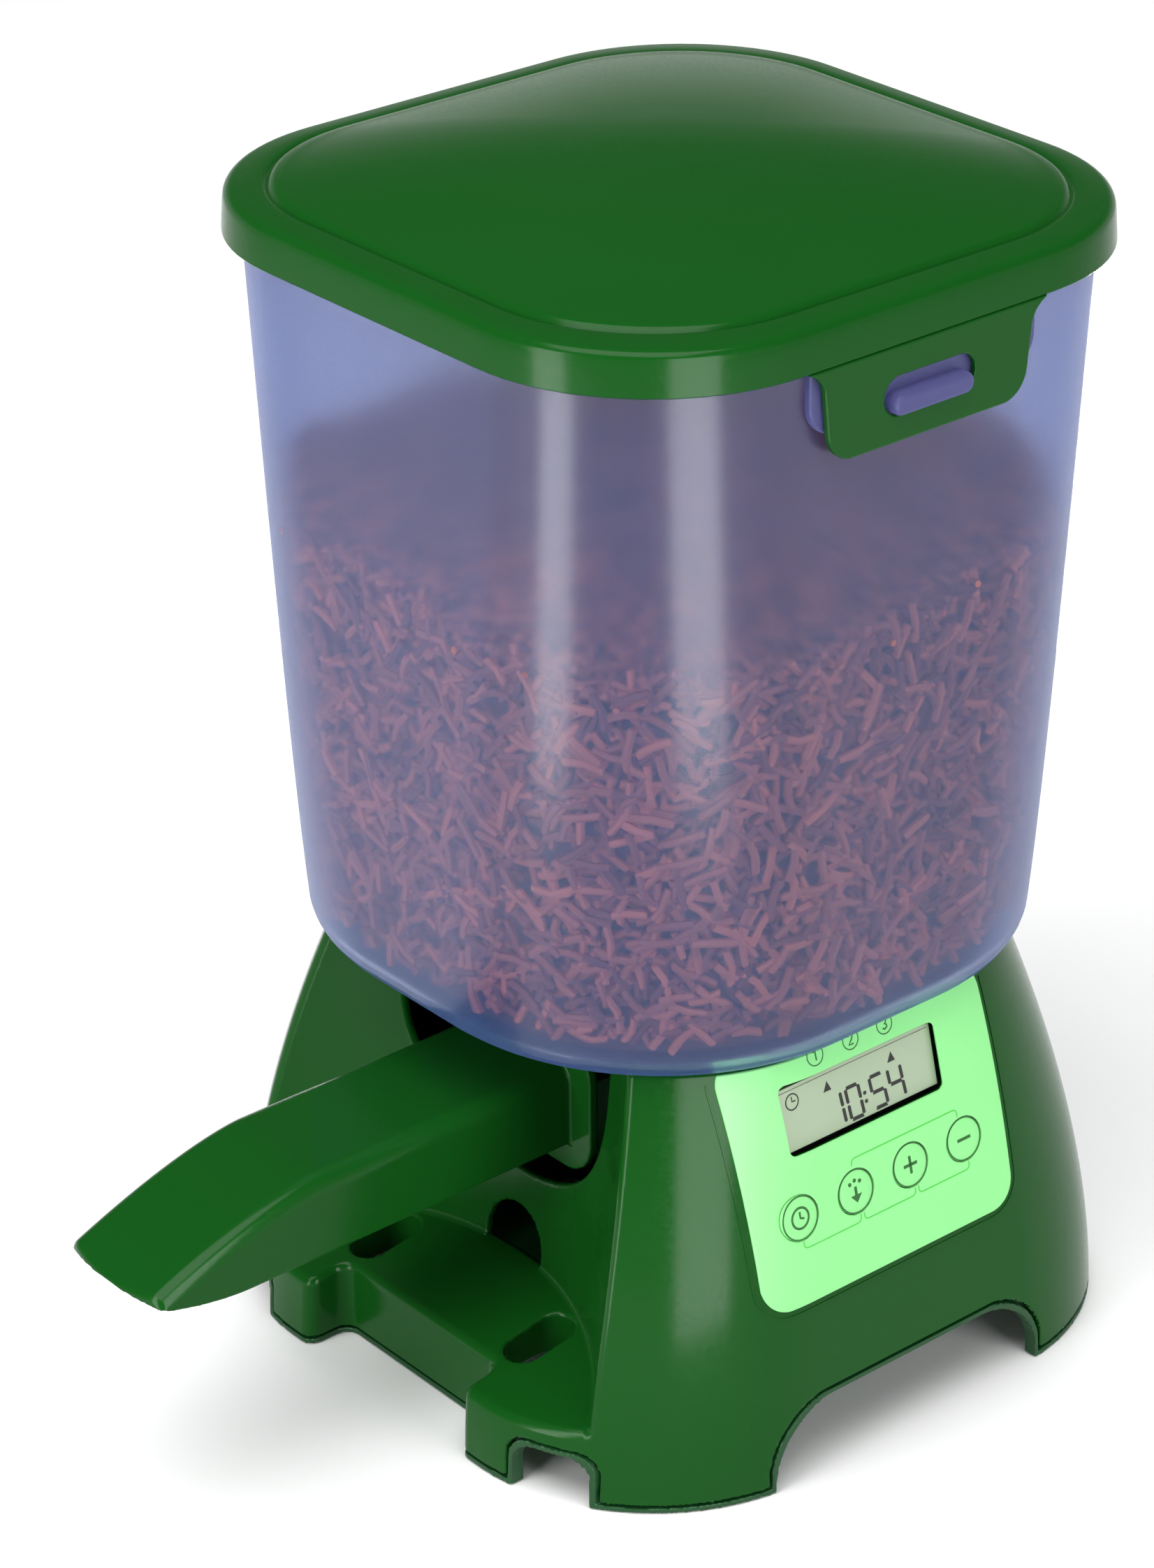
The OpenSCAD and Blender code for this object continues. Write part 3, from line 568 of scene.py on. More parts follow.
def on_panel(p):
    return np.stack([face_x(p[:, 1], p[:, 2]) + p[:, 0] * OUTWARDS, p[:, 1], p[:, 2]], 1)


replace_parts(sculpt("panel_overlay", panel_shape, (-0.4, -56, 55.6), (1.2, 43, 127.3), (0.18, 0.6, 0.6),
                   "casing", MINT, warp=on_panel), "control_panel")


def slab(outline, near, far, place):
    """Points and faces of a flat outline [(y, up), ...] between two heights, placed by place(y, up, h)."""
    o = np.asarray(outline, float)
    n = len(o)
    verts = np.concatenate([place(o[:, 0], o[:, 1], near), place(o[:, 0], o[:, 1], far)])
    faces = [[i, (i + 1) % n, n + (i + 1) % n, n + i] for i in range(n)]
    faces += [list(range(n))[::-1], [n + i for i in range(n)]]
    return verts, faces


def band(path, width, near, far, place, closed=False, limit=1.6):
    """Points and faces of a line of some width along a path of (y, up)."""
    p = np.asarray(path, float)
    if closed:
        p = np.concatenate([p, p[:1]])
    dense = []
    for a, b in zip(p[:-1], p[1:]):
        k = max(1, int(np.linalg.norm(b - a) / limit))
        dense += [a + (b - a) * t / k for t in range(k)]
    if not closed:
        dense.append(p[-1])
    p = np.array(dense)
    n = len(p)
    d = np.roll(p, -1, 0) - np.roll(p, 1, 0) if closed else np.gradient(p, axis=0)
    d /= np.maximum(np.linalg.norm(d, axis=1), 1e-9)[:, None]
    side = np.stack([-d[:, 1], d[:, 0]], 1) * width / 2
    corners = ((p - side, near), (p - side, far), (p + side, far), (p + side, near))
    verts = np.concatenate([place(q[:, 0], q[:, 1], h) for q, h in corners])
    faces = []
    for i in range(n if closed else n - 1):
        j = (i + 1) % n
        for a in range(4):
            b = (a + 1) % 4
            faces.append([a * n + i, b * n + i, b * n + j, a * n + j])
    if not closed:
        faces += [[0, n, 2 * n, 3 * n], [4 * n - 1, 3 * n - 1, 2 * n - 1, n - 1]]
    return verts, faces


def circle(y, up, r, n=36):
    a = np.radians(np.linspace(0, 360, n + 1))[:-1]
    return np.stack([y + r * np.cos(a), up + r * np.sin(a)], 1)


def gather(name, parts, body, material):
    """One piece from several (points, faces)."""
    verts, faces, n = [], [], 0
    for v, f in parts:
        verts.append(v)
        faces += [[i + n for i in face] for face in f]
        n += len(v)
    return outward(piece(name, np.concatenate(verts), faces, body, material), 35)


def on_face(y, up, h):
    """Points in the flat frame of the control face."""
    c, s = math.cos(FACE_TILT), math.sin(FACE_TILT)
    y, up = np.broadcast_arrays(np.asarray(y, float), np.asarray(up, float))
    return np.stack([half_at(FACE_Z) + h * c - up * s, y, FACE_Z + h * s + up * c], 1)


def on_overlay(y, up, h):
    """Points on the curved overlay, h above its outer face."""
    y, up = np.broadcast_arrays(np.asarray(y, float), np.asarray(up, float))
    z = up_to_z(up)
    return np.stack([face_x(y, z) + (OVERLAY + h) * OUTWARDS, y, z], 1)


def rounded_path(points, r=1.6, n=4):
    """A path with its corners rounded, but not its ends."""
    p = [np.array(q, float) for q in points]
    out = [p[0]]
    for a, b, c in zip(p[:-2], p[1:-1], p[2:]):
        u, v = (a - b) / np.linalg.norm(a - b), (c - b) / np.linalg.norm(c - b)
        s, e = b + u * r, b + v * r
        for k in range(n + 1):
            t = k / n
            out.append((1 - t) ** 2 * s + 2 * t * (1 - t) * b + t * t * e)
    out.append(p[-1])
    return out


# Grouping lines between the buttons, and three numbered rings above the display
gather("panel_lines", [band(rounded_path(p), 0.42, LINE_BACK, LINE_FRONT, on_overlay) for p in (
    [(-18.0, -5.9), (-18.0, -3.9), (23.8, -3.9), (23.8, -6.5)],
    [(-39.2, -21.3), (-39.2, -23.6), (-17.1, -23.6), (-17.1, -21.3)],
    [(-15.8, -21.3), (-15.8, -23.6), (4.4, -23.6), (4.4, -21.3)],
    [(5.7, -21.3), (5.7, -23.6), (26.0, -23.6), (26.0, -21.3)])], "casing", PALE_PRINT)
ONE = [(-0.6, 0.9), (0.2, 1.5), (0.2, -1.5)]
TWO = [(-0.8, 0.8), (-0.3, 1.45), (0.5, 1.4), (0.85, 0.7), (0.3, -0.2), (-0.85, -1.5), (0.9, -1.5)]
THREE = [(-0.8, 1.2), (0, 1.55), (0.8, 1.0), (0.6, 0.3), (0, 0.05), (0.7, -0.3), (0.85, -1.0), (0, -1.55),
         (-0.85, -1.1)]
numbers = []
for cy, digit in ((-24.2, ONE), (-10.6, TWO), (2.6, THREE)):
    numbers.append(band(circle(cy, RING_UP, RING_R), 0.34, LINE_BACK, LINE_FRONT, on_overlay, closed=True))
    numbers.append(band([(cy + a, RING_UP + b) for a, b in digit], 0.5, LINE_BACK, LINE_FRONT, on_overlay))
gather("panel_numbers", numbers, "casing", PRINT)

def bead_path():
    """Round the overlay, open at the top and starting at its upper left."""
    outline = []
    for qy, qz, a0 in ((1, 1, 0), (-1, 1, 90), (-1, -1, 180), (1, -1, 270)):
        for a in np.radians(np.linspace(a0, a0 + 90, 9)):
            outline.append((PANEL_Y + qy * 39.5 + 11.2 * math.cos(a), PANEL_Z + qz * 28 + 11.2 * math.sin(a)))
    lower = [(y, (z - FACE_Z) / math.cos(FACE_TILT)) for y, z in outline if z < CASING_H - 3]
    left = [i for i in range(len(lower)) if lower[i][0] < PANEL_Y]
    start = max(left, key=lambda i: lower[i][1])
    return lower[start:] + lower[:start]


# A fine raised bead in the casing round the overlay
gather("overlay_bead", [band(bead_path(), 0.45, -1.0, -0.45, on_overlay)], "casing", GREEN)


# ---------------------------------------------------------------- display
INK_NEAR, INK_FAR = -1.95, -1.85        # heights from the control face
SEGMENT, LEAN = 1.15, -0.09             # a digit's stroke, and its slant


def segment_digit(y, up, w, h, lean, on):
    """Seven-segment digit from its lower left corner. on lists the segments a to g."""
    t, gap = SEGMENT, 0.2
    m, taper = h / 2, t * 0.3

    def at(a, b):
        return (y + a - lean * (h - b), up + b)

    def flat(b, x0, x1):
        return [at(x0 + gap, b - t / 2), at(x1 - gap, b - t / 2),
                at(x1 - gap - taper, b + t / 2), at(x0 + gap + taper, b + t / 2)]

    def tall(a, b0, b1):
        return [at(a - t / 2, b0 + gap + taper), at(a, b0 + gap), at(a + t / 2, b0 + gap + taper),
                at(a + t / 2, b1 - gap - taper), at(a, b1 - gap), at(a - t / 2, b1 - gap - taper)]

    shapes = {"a": flat(h, 0, w), "d": flat(0, 0, w), "g": flat(m, 0, w),
              "f": tall(0, m, h), "b": tall(w, m, h), "e": tall(0, 0, m), "c": tall(w, 0, m)}
    return [shapes[s] for s in on]


def display_ink():
    """The time, its colon, two pointers, a small clock and the line along the top."""
    fills = []
    for y, w, on in ((-20.3, 4.3, "bc"), (-13.9, 4.9, "abcdef"), (-4.6, 4.9, "afgcd"), (2.5, 4.9, "fgbc")):
        fills += segment_digit(y, 5.8, w, 9.8, LEAN, on)
    fills += [circle(y, up, 0.62, 16) for y, up in ((-6.9, 11.9), (-6.7, 9.3))]
    fills += [[(y - 1.5, 17.4), (y + 1.5, 17.4), (y + 0.2, 20.4)] for y in (-20.3, 4.6)]
    return [slab(f, INK_NEAR, INK_FAR, on_face) for f in fills] + [
        band(circle(-33.6, 19.0, 2.35), 0.42, INK_NEAR, INK_FAR, on_face, closed=True),
        band([(-33.6, 20.5), (-33.6, 19.0), (-32.3, 19.0)], 0.42, INK_NEAR, INK_FAR, on_face),
        band([(-38.0, 22.6), (19.5, 22.6)], 0.16, INK_NEAR, INK_FAR, on_face)]


gather("lcd_segments", display_ink(), "casing", INK)


# ---------------------------------------------------------------- buttons
def lathe(name, profile, centre, body, material, n=48):
    """A piece turned about the control face's normal. profile is [(radius, height), ...], axis to axis."""
    a = np.linspace(0, 2 * math.pi, n, endpoint=False)
    verts, faces = [], []
    for r, h in profile:
        r = max(r, 0.01)
        verts.append(on_face(centre[0] + r * np.cos(a), centre[1] + r * np.sin(a), h))
    i = np.arange(n)
    j = (i + 1) % n
    for k in range(len(profile) - 1):
        faces += np.stack([k * n + i, k * n + j, (k + 1) * n + j, (k + 1) * n + i], 1).tolist()
    faces += [i[::-1].tolist(), ((len(profile) - 1) * n + i).tolist()]
    return outward(piece(name, np.concatenate(verts), faces, body, material), 40)


KEY_TOP, KEY_R = 0.42, 6.45
KEY_PROFILE = [(0, -6.5), (2.2, -6.5), (2.2, -5), (6.75, -5), (6.75, KEY_TOP - 0.3), (6.66, KEY_TOP - 0.1),
               (KEY_R, KEY_TOP), (3, KEY_TOP + 0.06), (0, KEY_TOP + 0.08)]


def icon(name, y):
    near, far = KEY_TOP + 0.02, KEY_TOP + 0.13

    def on_key(pts):
        return [(y + a, BUTTON_V + b) for a, b in pts]

    def bar(*pts, w=0.95):
        return band(on_key(pts), w, near, far, on_face)

    if name == "plus":
        return [bar((-2.6, 0), (2.6, 0)), bar((0, -2.7), (0, 2.7))]
    if name == "minus":
        return [bar((-2.6, 0), (2.6, 0))]
    if name == "time":
        return [band(circle(y, BUTTON_V, 3.1), 0.7, near, far, on_face, closed=True),
                bar((0, 1.9), (0, 0), (1.4, -0.5), w=0.7)]
    arrow = [(-0.5, 1.4), (-0.5, -1.1), (-2.1, -1.1), (0, -3.5), (2.1, -1.1), (0.5, -1.1), (0.5, 1.4)]
    drops = [circle(*q, 0.62, 14) for q in on_key([(-1.9, 2.6), (0, 3.3), (1.9, 2.6)])]
    return [slab(shape, near, far, on_face) for shape in [on_key(arrow), *drops]]


for key, y in zip(("time", "feed", "plus", "minus"), BUTTON_Y):
    cap = lathe(f"{key}_key", KEY_PROFILE, (y, BUTTON_V), f"{key}_button_unit", MINT)
    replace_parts(cap, f"{key}_button")
    edge = band(circle(y, BUTTON_V, KEY_R, 60), 0.42, KEY_TOP - 0.12, KEY_TOP + 0.1, on_face, closed=True)
    gather(f"{key}_mark", icon(key, y) + [edge], f"{key}_button_unit", PRINT)


# ---------------------------------------------------------------- lid
DOME = 10.4


def lid_outer():
    """Skirt, rounded shoulder, groove and dome, from the outside bottom edge to the middle of the top."""
    rings = [[104.6, 59.1, LID_Z], [105.0, 59.5, LID_Z + 0.4], [104.75, 59.4, LID_Z + 5],
             [104.5, 59.3, LID_Z + 9.0]]
    rings += arc(101.4, LID_Z + 9.6, 3.0, 8, 84, 59.2, 7)
    rings += [[98.5, 56.3, LID_Z + 12.9], [95.4, 54.2, LID_Z + 13.2], [94.6, 53.5, LID_Z + 13.1],
              [94.1, 53.1, LID_Z + 12.7], [93.7, 52.8, LID_Z + 12.7], [93.2, 52.5, LID_Z + 13.3],
              [92.6, 52.0, LID_Z + 14.0], [91.6, 51.3, LID_Z + 14.5]]
    for k in np.linspace(0.965, 0.0, 26)[:-1]:
        rings.append([93.2 * k, 52.5 * math.sqrt(k), LID_Z + 14.0 + DOME * (1 - k * k)])
    rings.append([0.4, 0.39, LID_Z + 24.4])
    return rings


def lid_inner():
    """From under the middle of the dome to the inside bottom edge."""
    rings = [[0.4, 0.39, LID_Z + 22.3]]
    for k in np.linspace(0.0, 0.96, 14)[1:]:
        rings.append([91.4 * k, 50.5 * math.sqrt(k), LID_Z + 11.9 + DOME * (1 - k * k)])
    rings += [[92.8, 51.5, LID_Z + 11.2], [99.4, 55.6, LID_Z + 11.1], [101.6, 57.0, LID_Z + 9.0],
              [102.4, 57.4, LID_Z + 6], [102.9, 57.5, LID_Z + 0.3], [103.2, 57.8, LID_Z]]
    return rings


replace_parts(loft("lid_shell", lid_inner() + lid_outer(), "lid_unit", GREEN), "lid")


def tab_shape(x, y, z):
    """Both latch tabs, flared into the skirt above and with a round-ended slot."""
    t = z - LID_Z
    plate = np.abs(np.abs(x) - 104) - 1
    flank = rect(y * 35.4 / (35.4 + 0.11 * (t + 27.5)), t - 10, 35.4, 37.5, 8.0)
    flat = rmin(flank, -t, 7.0)
    flat = np.maximum(flat, np.abs(y) - 43)
    flat = np.maximum(flat, t)
    slot = np.hypot(np.maximum(np.abs(y) - 11, 0), t + 14.2) - 5.5
    return rmax(rmax(plate, flat, 0.5), -slot, 0.45)


for side, lo, hi in (("right", 102.2, 105.8), ("left", -105.8, -102.2)):
    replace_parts(sculpt(f"latch_{side}", tab_shape, (lo, -44.2, 312.8), (hi, 44.2, 342), 0.5,
                       f"tab_{side}", GREEN, triangles=60000), f"lid_tab_{side}")


# ---------------------------------------------------------------- hopper
FOOT_WIDTH, FOOT_ROUND = 98.6, 82           # half width and corner radius at the bottom
WALL_RUN, WIDENS, SHARPENS = 214, 2, 24     # change over the wall's height


def hopper_size(z):
    """Half width and corner radius of the hopper's outside, which is rounder at the bottom."""
    t = np.maximum(0.0, (z - HOPPER_Z) / WALL_RUN)
    return FOOT_WIDTH + WIDENS * t ** 0.6, FOOT_ROUND - SHARPENS * t ** 0.8


def hopper_ring(z, inset=0.0):
    half, r = hopper_size(z)
    return [half - inset, r - inset, z]


def hopper_wall(inset, floor, fillet, top, low_first=True):
    """Rings up the wall, from a fillet at the floor."""
    foot = hopper_ring(floor + fillet, inset)
    rings = []
    for a in np.linspace(0, 90, 9)[:-1]:
        s = fillet * (1 - math.sin(math.radians(a)))
        rings.append([foot[0] - s, foot[1] - s, floor + fillet * (1 - math.cos(math.radians(a)))])
    rings += [hopper_ring(z, inset) for z in np.linspace(floor + fillet, top, 26)]
    return rings if low_first else rings[::-1]


# The outlet neck and the cone above it, then the wall, the rim and the same way back inside
outer = [[18.3, 18.29, 104.4], [18.6, 18.59, 104.8], [18.6, 18.59, 111.4], [19.2, 19.19, 112.3],
         [79.5, 79.4, 127.0], [80.6, 80.5, 127.5]]
outer += hopper_wall(0.0, HOPPER_Z, 10.0, HOPPER_TOP - 0.6)
rim = [[100.2, 57.2, HOPPER_TOP], [98.7, 56.0, HOPPER_TOP]]
inner = hopper_wall(HOPPER_WALL, HOPPER_Z + HOPPER_FLOOR, 8.0, HOPPER_TOP - 0.6, low_first=False)
inner += [[77.6, 77.5, 130.1], [76.6, 76.5, 129.6], [17, 16.9, 115.2], [16.2, 16.1, 114.2],
          [16.2, 16.1, 104.8], [16.5, 16.4, 104.4]]
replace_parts(loft("hopper_shell", outer + rim + inner, "hopper_unit", CLEAR,
                 closed=True, steps=28, sharp=50), "hopper")


def lug_shape(x, y, z):
    """The bar that stands out through the latch tab's slot."""
    ends = np.hypot(np.maximum(np.abs(y) - 11.5, 0), z - 324.9) - 3.0
    return rmax(ends, np.abs(np.abs(x) - 103.5) - 3.9, 1.5)


def pad_shape(x, y, z):
    """The thickened wall behind the latch tab."""
    flat = rect(y, z - 334.5, 41, 13, 9)
    flat = np.maximum(flat, z - 340.4)
    return rmax(flat, np.abs(np.abs(x) - 101.4) - 1.2, 0.6)


for side, s in (("right", 1), ("left", -1)):
    for tag, shape, near, far, half, top in (("lug", lug_shape, 99, 108, 16, 330),
                                             ("pad", pad_shape, 99.6, 103.2, 43, 341.5)):
        x0, x1 = sorted((s * near, s * far))
        sculpt(f"hopper_{tag}_{side}", shape, (x0, -half, 320), (x1, half, top), 0.55,
               "hopper_unit", LUG)


# ---------------------------------------------------------------- food
FOOD_LOW, FOOD_HIGH, FOOD_Z = 141.0, 272, 264
STICK_LENGTH, STICK_RADIUS, STICK_BOW = (7.5, 13.0), (1.1, 1.35), (-1.4, 1.4)
STICK_RINGS = ((-0.5, 0.82), (-0.44, 1.0), (0.0, 1.0), (0.44, 1.0), (0.5, 0.82))     # place, thickness
WALL_LAYERS = ((1.5, 1500), (2.5, 1700), (3.9, 2600), (5.6, 2300))      # depth inside the wall, sticks
TOP_LAYERS = ((0.0, 2300), (2.0, 2000))                                 # depth under the top, sticks


def food_top(x, y):
    """Height of the heap of sticks."""
    slump = 0.085 * np.maximum(x - y, -40)
    waves = 1.6 * np.sin(0.045 * x + 1.1), 1.6 * np.sin(0.06 * y - 0.6), 1.0 * np.sin(0.11 * (x + y))
    return FOOD_Z - slump + waves[0] + waves[1] + waves[2]


def wall_points(n, depth):
    """Points at a depth inside the hopper's wall, with the wall's normal there."""
    z = RNG.uniform(FOOD_LOW, FOOD_HIGH, n)
    bend = np.clip((z - 135.6) / 8, 0, 1)
    inset = 2.6 + depth + 8 * (1 - np.sqrt(1 - (1 - bend) ** 2))
    half, r = (size - inset for size in hopper_size(z))
    straight, curve = 2 * (half - r), r * math.pi / 2
    s = RNG.uniform(0, 1, n) * (straight + curve)
    a = np.maximum(s - straight, 0) / r
    x = np.where(s < straight, half, half - r + r * np.cos(a))
    y = np.where(s < straight, s - (half - r), half - r + r * np.sin(a))
    q = RNG.integers(0, 4, n) * math.pi / 2
    c, s2 = np.cos(q), np.sin(q)
    nx, ny = np.cos(a), np.sin(a)
    p = np.stack([x * c - y * s2, x * s2 + y * c, z], 1)
    return p, np.stack([nx * c - ny * s2, nx * s2 + ny * c, np.zeros(n)], 1)


def sticks(name, centres, ways, walls, n_sides=6):
    """Short rods about each centre, along each way, bent in the plane whose normal is given."""
    n = len(centres)
    d = ways / np.linalg.norm(ways, axis=1)[:, None]
    helper = np.where(np.abs(d[:, 2:3]) > 0.8, [[1.0, 0, 0]], [[0, 0, 1.0]])
    u = np.cross(d, helper)
    u /= np.linalg.norm(u, axis=1)[:, None]
    v = np.cross(d, u)
    side = np.cross(d, walls)
    length = RNG.uniform(*STICK_LENGTH, (n, 1))
    radius = RNG.uniform(*STICK_RADIUS, (n, 1))
    bow = RNG.uniform(*STICK_BOW, (n, 1))
    a = np.linspace(0, 2 * math.pi, n_sides, endpoint=False)
    rows = []
    for t, shrink in STICK_RINGS:
        middle = centres + d * length * t + side * bow * (1 - 4 * t * t)
        for w in a:
            rows.append(middle + (u * math.cos(w) + v * math.sin(w)) * radius * shrink)
    verts = np.stack(rows, 1).reshape(-1, 3)
    spans = len(STICK_RINGS) - 1
    per, faces = (spans + 1) * n_sides, []
    for k in range(spans):
        for i in range(n_sides):
            j = (i + 1) % n_sides
            faces.append([k * n_sides + i, k * n_sides + j, (k + 1) * n_sides + j, (k + 1) * n_sides + i])
    start = (np.arange(n) * per)[:, None, None]
    quads = (np.array(faces)[None] + start).reshape(-1, 4).tolist()
    caps = np.array([list(range(n_sides))[::-1], [spans * n_sides + i for i in range(n_sides)]])
    caps = (caps[None] + start).reshape(-1, n_sides).tolist()
    ob = piece(name, verts, quads + caps, "hopper_unit", STICKS, sharp=50)
    tone = np.repeat(RNG.uniform(0.1, 1.0, n), per).astype(np.float32)
    ob.data.attributes.new("tone", "FLOAT", "POINT").data.foreach_set("value", tone)
    return ob


def food():
    """Sticks flat against the wall in layers, sticks lying over the top, and a plain core in the middle."""
    at, way, wall = [], [], []
    for depth, n in WALL_LAYERS:
        p, normal = wall_points(n, depth)
        ok = p[:, 2] < food_top(p[:, 0], p[:, 1]) + 0.8
        p, normal = p[ok], normal[ok]
        a = RNG.uniform(0, math.pi, (len(p), 1))
        along = np.stack([-normal[:, 1], normal[:, 0], np.zeros(len(p))], 1)
        at.append(p)
        wall.append(normal)
        tilt = normal * RNG.normal(0, 0.015 * depth, (len(p), 1))
        way.append(along * np.cos(a) + np.array([[0, 0, 1.0]]) * np.sin(a) + tilt)
    for depth, n in TOP_LAYERS:
        x, y = RNG.uniform(-93, 93, (2, n))
        ok = rect(x, y, 93, 93, 60) < 0
        x, y = x[ok], y[ok]
        at.append(np.stack([x, y, food_top(x, y) - depth + RNG.normal(0, 0.5, len(x))], 1))
        a = RNG.uniform(0, 2 * math.pi, len(x))
        way.append(np.stack([np.cos(a), np.sin(a), RNG.normal(0, 0.28, len(x))], 1))
        wall.append(np.tile([0.0, 0.0, 1.0], (len(x), 1)))
    at, way, wall = np.concatenate(at), np.concatenate(way), np.concatenate(wall)
    top = at[:, 2] > food_top(at[:, 0], at[:, 1]) - 3
    quarter = (np.degrees(np.arctan2(at[:, 1], at[:, 0])) + 45) % 360 // 90
    for q, tag in enumerate(("east", "north", "west", "south")):
        mask = (quarter == q) & ~top
        sticks(f"food_sticks_{tag}", at[mask], way[mask], wall[mask])
    sticks("food_sticks_top", at[top], way[top], wall[top])
    core = [[15.4, 15.3, 115.4], [15.4, 15.3, 116.0], [74.5, 74.4, 130.6]]
    core += hopper_wall(7.6, 132.5, 8.0, 240.0)
    core += [[84.0, 46.0, 244.0], [40.0, 30.0, 245.0]]
    return loft("food_heap", core, "hopper_unit", FOOD_CORE)


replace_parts(food(), "food_fill")


# ---------------------------------------------------------------- spout
CHUTE_TOP, CHUTE_BOTTOM, CHUTE_HALF, CHUTE_EDGE, CHUTE_SKIN = 103, 77, 22, 5.4, 1.7
TIP = 206                                   # reach of the chute's end
TUBE_R, COLLAR_R = 10.9, 14


def spout_block(x, y, z, d):
    """The chute as a solid, shrunk by d: it bends down at the end, which is round in plan."""
    reach = -y
    upper = CHUTE_TOP - 18.5 * np.power(np.maximum(0, reach - 145) / (TIP - 145), 1.5)
    lower = CHUTE_BOTTOM + 6.5 * np.power(np.maximum(0, reach - 172) / (TIP - 172), 1.8)
    top = (z - upper) * 0.93
    wide = np.abs(x) - CHUTE_HALF
    plan = np.hypot(x, np.maximum(reach - 135, 0)) - (TIP - 135)
    shape = rmax(top, wide, CHUTE_EDGE)
    shape = rmax(shape, plan, 1.5)
    return np.maximum(shape, lower - z) + d


def spout_shape(x, y, z):
    shell = np.maximum(spout_block(x, y, z, 0), 54 + y)
    hollow = np.maximum(spout_block(x, y, z, CHUTE_SKIN), 52 + y)
    shell = rmax(shell, -hollow, 0.35)
    flange = rmax(rect(x, z - SPOUT_Z, 31, 22, 12), np.abs(y + 55.5) - 1.5, 0.5)
    collar = np.maximum(np.hypot(x, z - SPOUT_Z) - COLLAR_R, np.abs(y + 53.5) - 2.5)
    shell = rmin(shell, np.minimum(flange, collar), 1.0)
    mouth = np.maximum(np.maximum(np.abs(x) - 20.3, np.abs(y + 181) - 18), z - 84)
    shell = rmax(shell, -mouth, 0.3)
    bore = np.maximum(np.hypot(x, z - SPOUT_Z) - TUBE_R, -58 - y)
    return np.maximum(shell, -bore)


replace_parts(sculpt("spout_chute", spout_shape, (-32, -207, 66.8), (32, -50.2, 113), 0.72,
                   "spout_unit", GREEN, triangles=150000), "spout")


# ---------------------------------------------------------------- stage, light and camera
# Metres and degrees. Azimuth 0 is the front, -Y, and 90 is the control side, +X
FLOOR_HALF, FLOOR_Z = 9.0, -0.0002
FLOOR_FADE = (1.5, 2.4)                 # from the feeder
SKY_LOW, SKY_HIGH, SKY_HIGH_Z = 1.0, 0.13, 0.32
LENS, SENSOR, SHIFT_X = 105.67, 36.0, -130 / 2245
CAMERA_AT, CAMERA_AZIMUTH, CAMERA_ELEVATION = (0.9038, -0.7890, 0.7931), 48.88, 27.54


def towards(azimuth, elevation):
    a, e = math.radians(azimuth), math.radians(elevation)
    return Vector((math.sin(a) * math.cos(e), -math.cos(a) * math.cos(e), math.sin(e)))


def softbox(name, azimuth, elevation, distance, size, power, aim=(0, 0, 0.18), gloss=True, diffuse=True):
    light = bpy.data.lights.new(name, "AREA")
    light.shape, light.size, light.size_y, light.energy = "RECTANGLE", size[0], size[1], power
    ob = bpy.data.objects.new(name, light)
    away = towards(azimuth, elevation)
    ob.location = Vector(aim) + away * distance
    ob.rotation_euler = (-away).to_track_quat("-Z", "Y").to_euler()
    ob.visible_camera = False
    ob.visible_glossy = gloss
    ob.visible_diffuse = ob.visible_transmission = diffuse
    bpy.context.scene.collection.objects.link(ob)


def lay_floor():
    mat, nodes, links, out = new_material("pale_floor")
    bsdf = nodes.new("ShaderNodeBsdfPrincipled")
    bsdf.inputs["Roughness"].default_value = 0.9
    bsdf.inputs["Specular IOR Level"].default_value = 0.1
    noise = object_noise(nodes, links, 3.0)
    pale = color_mix(nodes, links, noise.outputs["Fac"], (0.88, 0.88, 0.88), (0.90, 0.90, 0.90))
    links.new(pale, bsdf.inputs["Base Color"])
    # Past FLOOR_FADE the floor thins out into the pale background
    place = nodes.new("ShaderNodeTexCoord")
    reach = nodes.new("ShaderNodeVectorMath")
    reach.operation = "LENGTH"
    links.new(place.outputs["Object"], reach.inputs[0])
    fade = nodes.new("ShaderNodeMapRange")
    fade.inputs["From Min"].default_value, fade.inputs["From Max"].default_value = FLOOR_FADE
    links.new(reach.outputs["Value"], fade.inputs["Value"])
    clear = nodes.new("ShaderNodeBsdfTransparent")
    blend = shader_mix(nodes, links, fade.outputs["Result"], bsdf.outputs["BSDF"], clear.outputs["BSDF"])
    links.new(blend, out.inputs["Surface"])
    mesh = bpy.data.meshes.new("floor")
    corners = [(x * FLOOR_HALF, y * FLOOR_HALF, FLOOR_Z) for x, y in ((-1, -1), (1, -1), (1, 1), (-1, 1))]
    mesh.from_pydata(corners, [], [(0, 1, 2, 3)])
    mesh.materials.append(mat)
    floor = bpy.data.objects.new("floor", mesh)
    bpy.context.scene.collection.objects.link(floor)


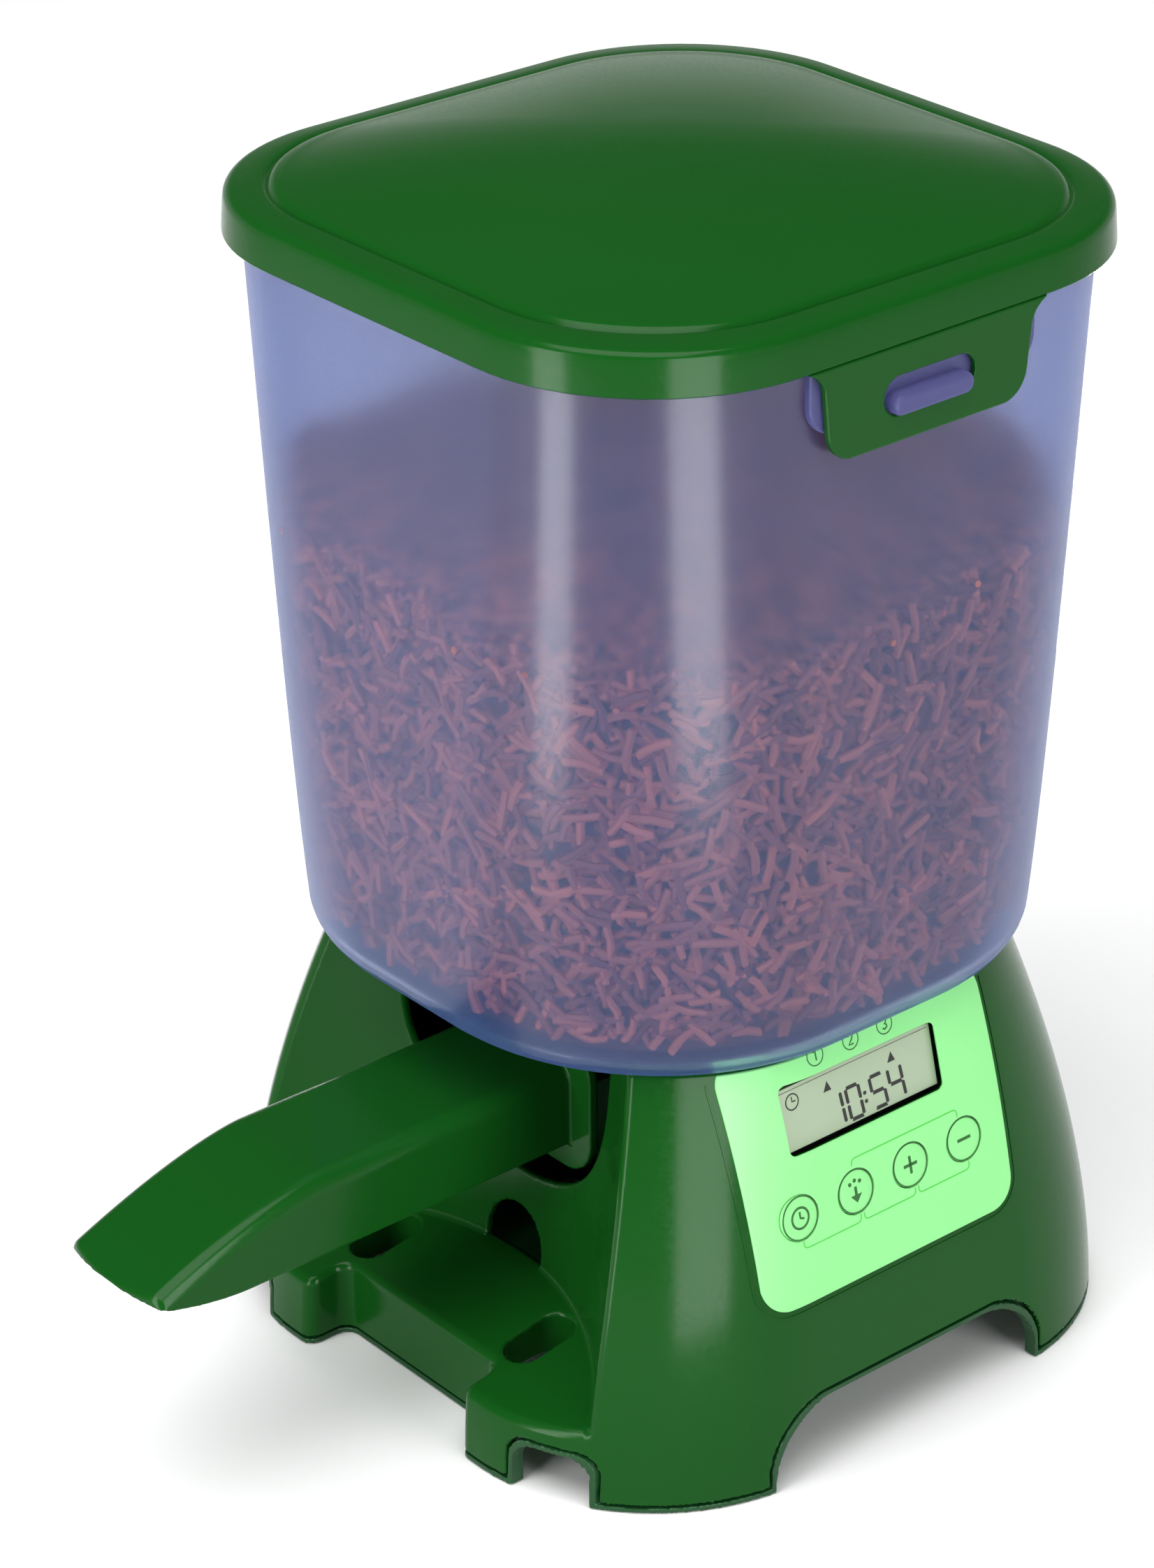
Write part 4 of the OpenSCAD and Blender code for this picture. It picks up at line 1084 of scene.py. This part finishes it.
def set_sky():
    """White round the horizon and darker overhead, so that the gloss stays deep."""
    world = bpy.data.worlds.new("studio")
    bpy.context.scene.world = world
    world.use_nodes = True
    nodes, links = world.node_tree.nodes, world.node_tree.links
    background = nodes["Background"]
    coord = nodes.new("ShaderNodeTexCoord")
    split = nodes.new("ShaderNodeSeparateXYZ")
    links.new(coord.outputs["Generated"], split.inputs["Vector"])
    grade = nodes.new("ShaderNodeValToRGB")
    low, high = grade.color_ramp.elements
    low.position, low.color = 0.0, (SKY_LOW, SKY_LOW, SKY_LOW, 1)
    high.position, high.color = SKY_HIGH_Z, (SKY_HIGH, SKY_HIGH, SKY_HIGH, 1)
    links.new(split.outputs["Z"], grade.inputs["Fac"])
    links.new(grade.outputs["Color"], background.inputs["Color"])
    background.inputs["Strength"].default_value = 0.74


def set_lights():
    softbox("overhead", 30, 68, 1.9, (1.8, 1.4), 38)
    softbox("floor_wash", 0, 90, 2.1, (2.2, 2.2), 42, (-1.3, 1.3, 0), gloss=False)
    softbox("left_fill", 0, 16, 1.6, (0.9, 0.8), 15, gloss=False)
    softbox("right_fill", 96, 16, 1.6, (0.9, 0.8), 12, gloss=False)
    # Upright boxes standing on the floor, for the highlights on the corners: width, height and radiance
    for name, azimuth, width, height, radiance in (
            ("left_strip", 6, 0.12, 0.5, 9), ("front_strip", 66, 0.17, 0.5, 9),
            ("right_rim", 212, 0.12, 0.15, 24), ("left_rim", 246, 0.10, 0.15, 18)):
        power = radiance * math.pi * width * height
        softbox(name, azimuth, 0, 0.46, (width, height), power, (0, 0, height / 2 + 0.002), diffuse=False)


def set_camera():
    data = bpy.data.cameras.new("camera")
    data.lens, data.sensor_width, data.shift_x = LENS, SENSOR, SHIFT_X
    data.clip_start, data.clip_end = 0.05, 50
    camera = bpy.data.objects.new("camera", data)
    camera.location = CAMERA_AT
    camera.rotation_mode = "QUATERNION"
    camera.rotation_quaternion = (-towards(CAMERA_AZIMUTH, CAMERA_ELEVATION)).to_track_quat("-Z", "Y")
    bpy.context.scene.collection.objects.link(camera)
    bpy.context.scene.camera = camera


lay_floor()
set_sky()
set_lights()
set_camera()
bpy.context.scene.view_settings.view_transform = "Standard"
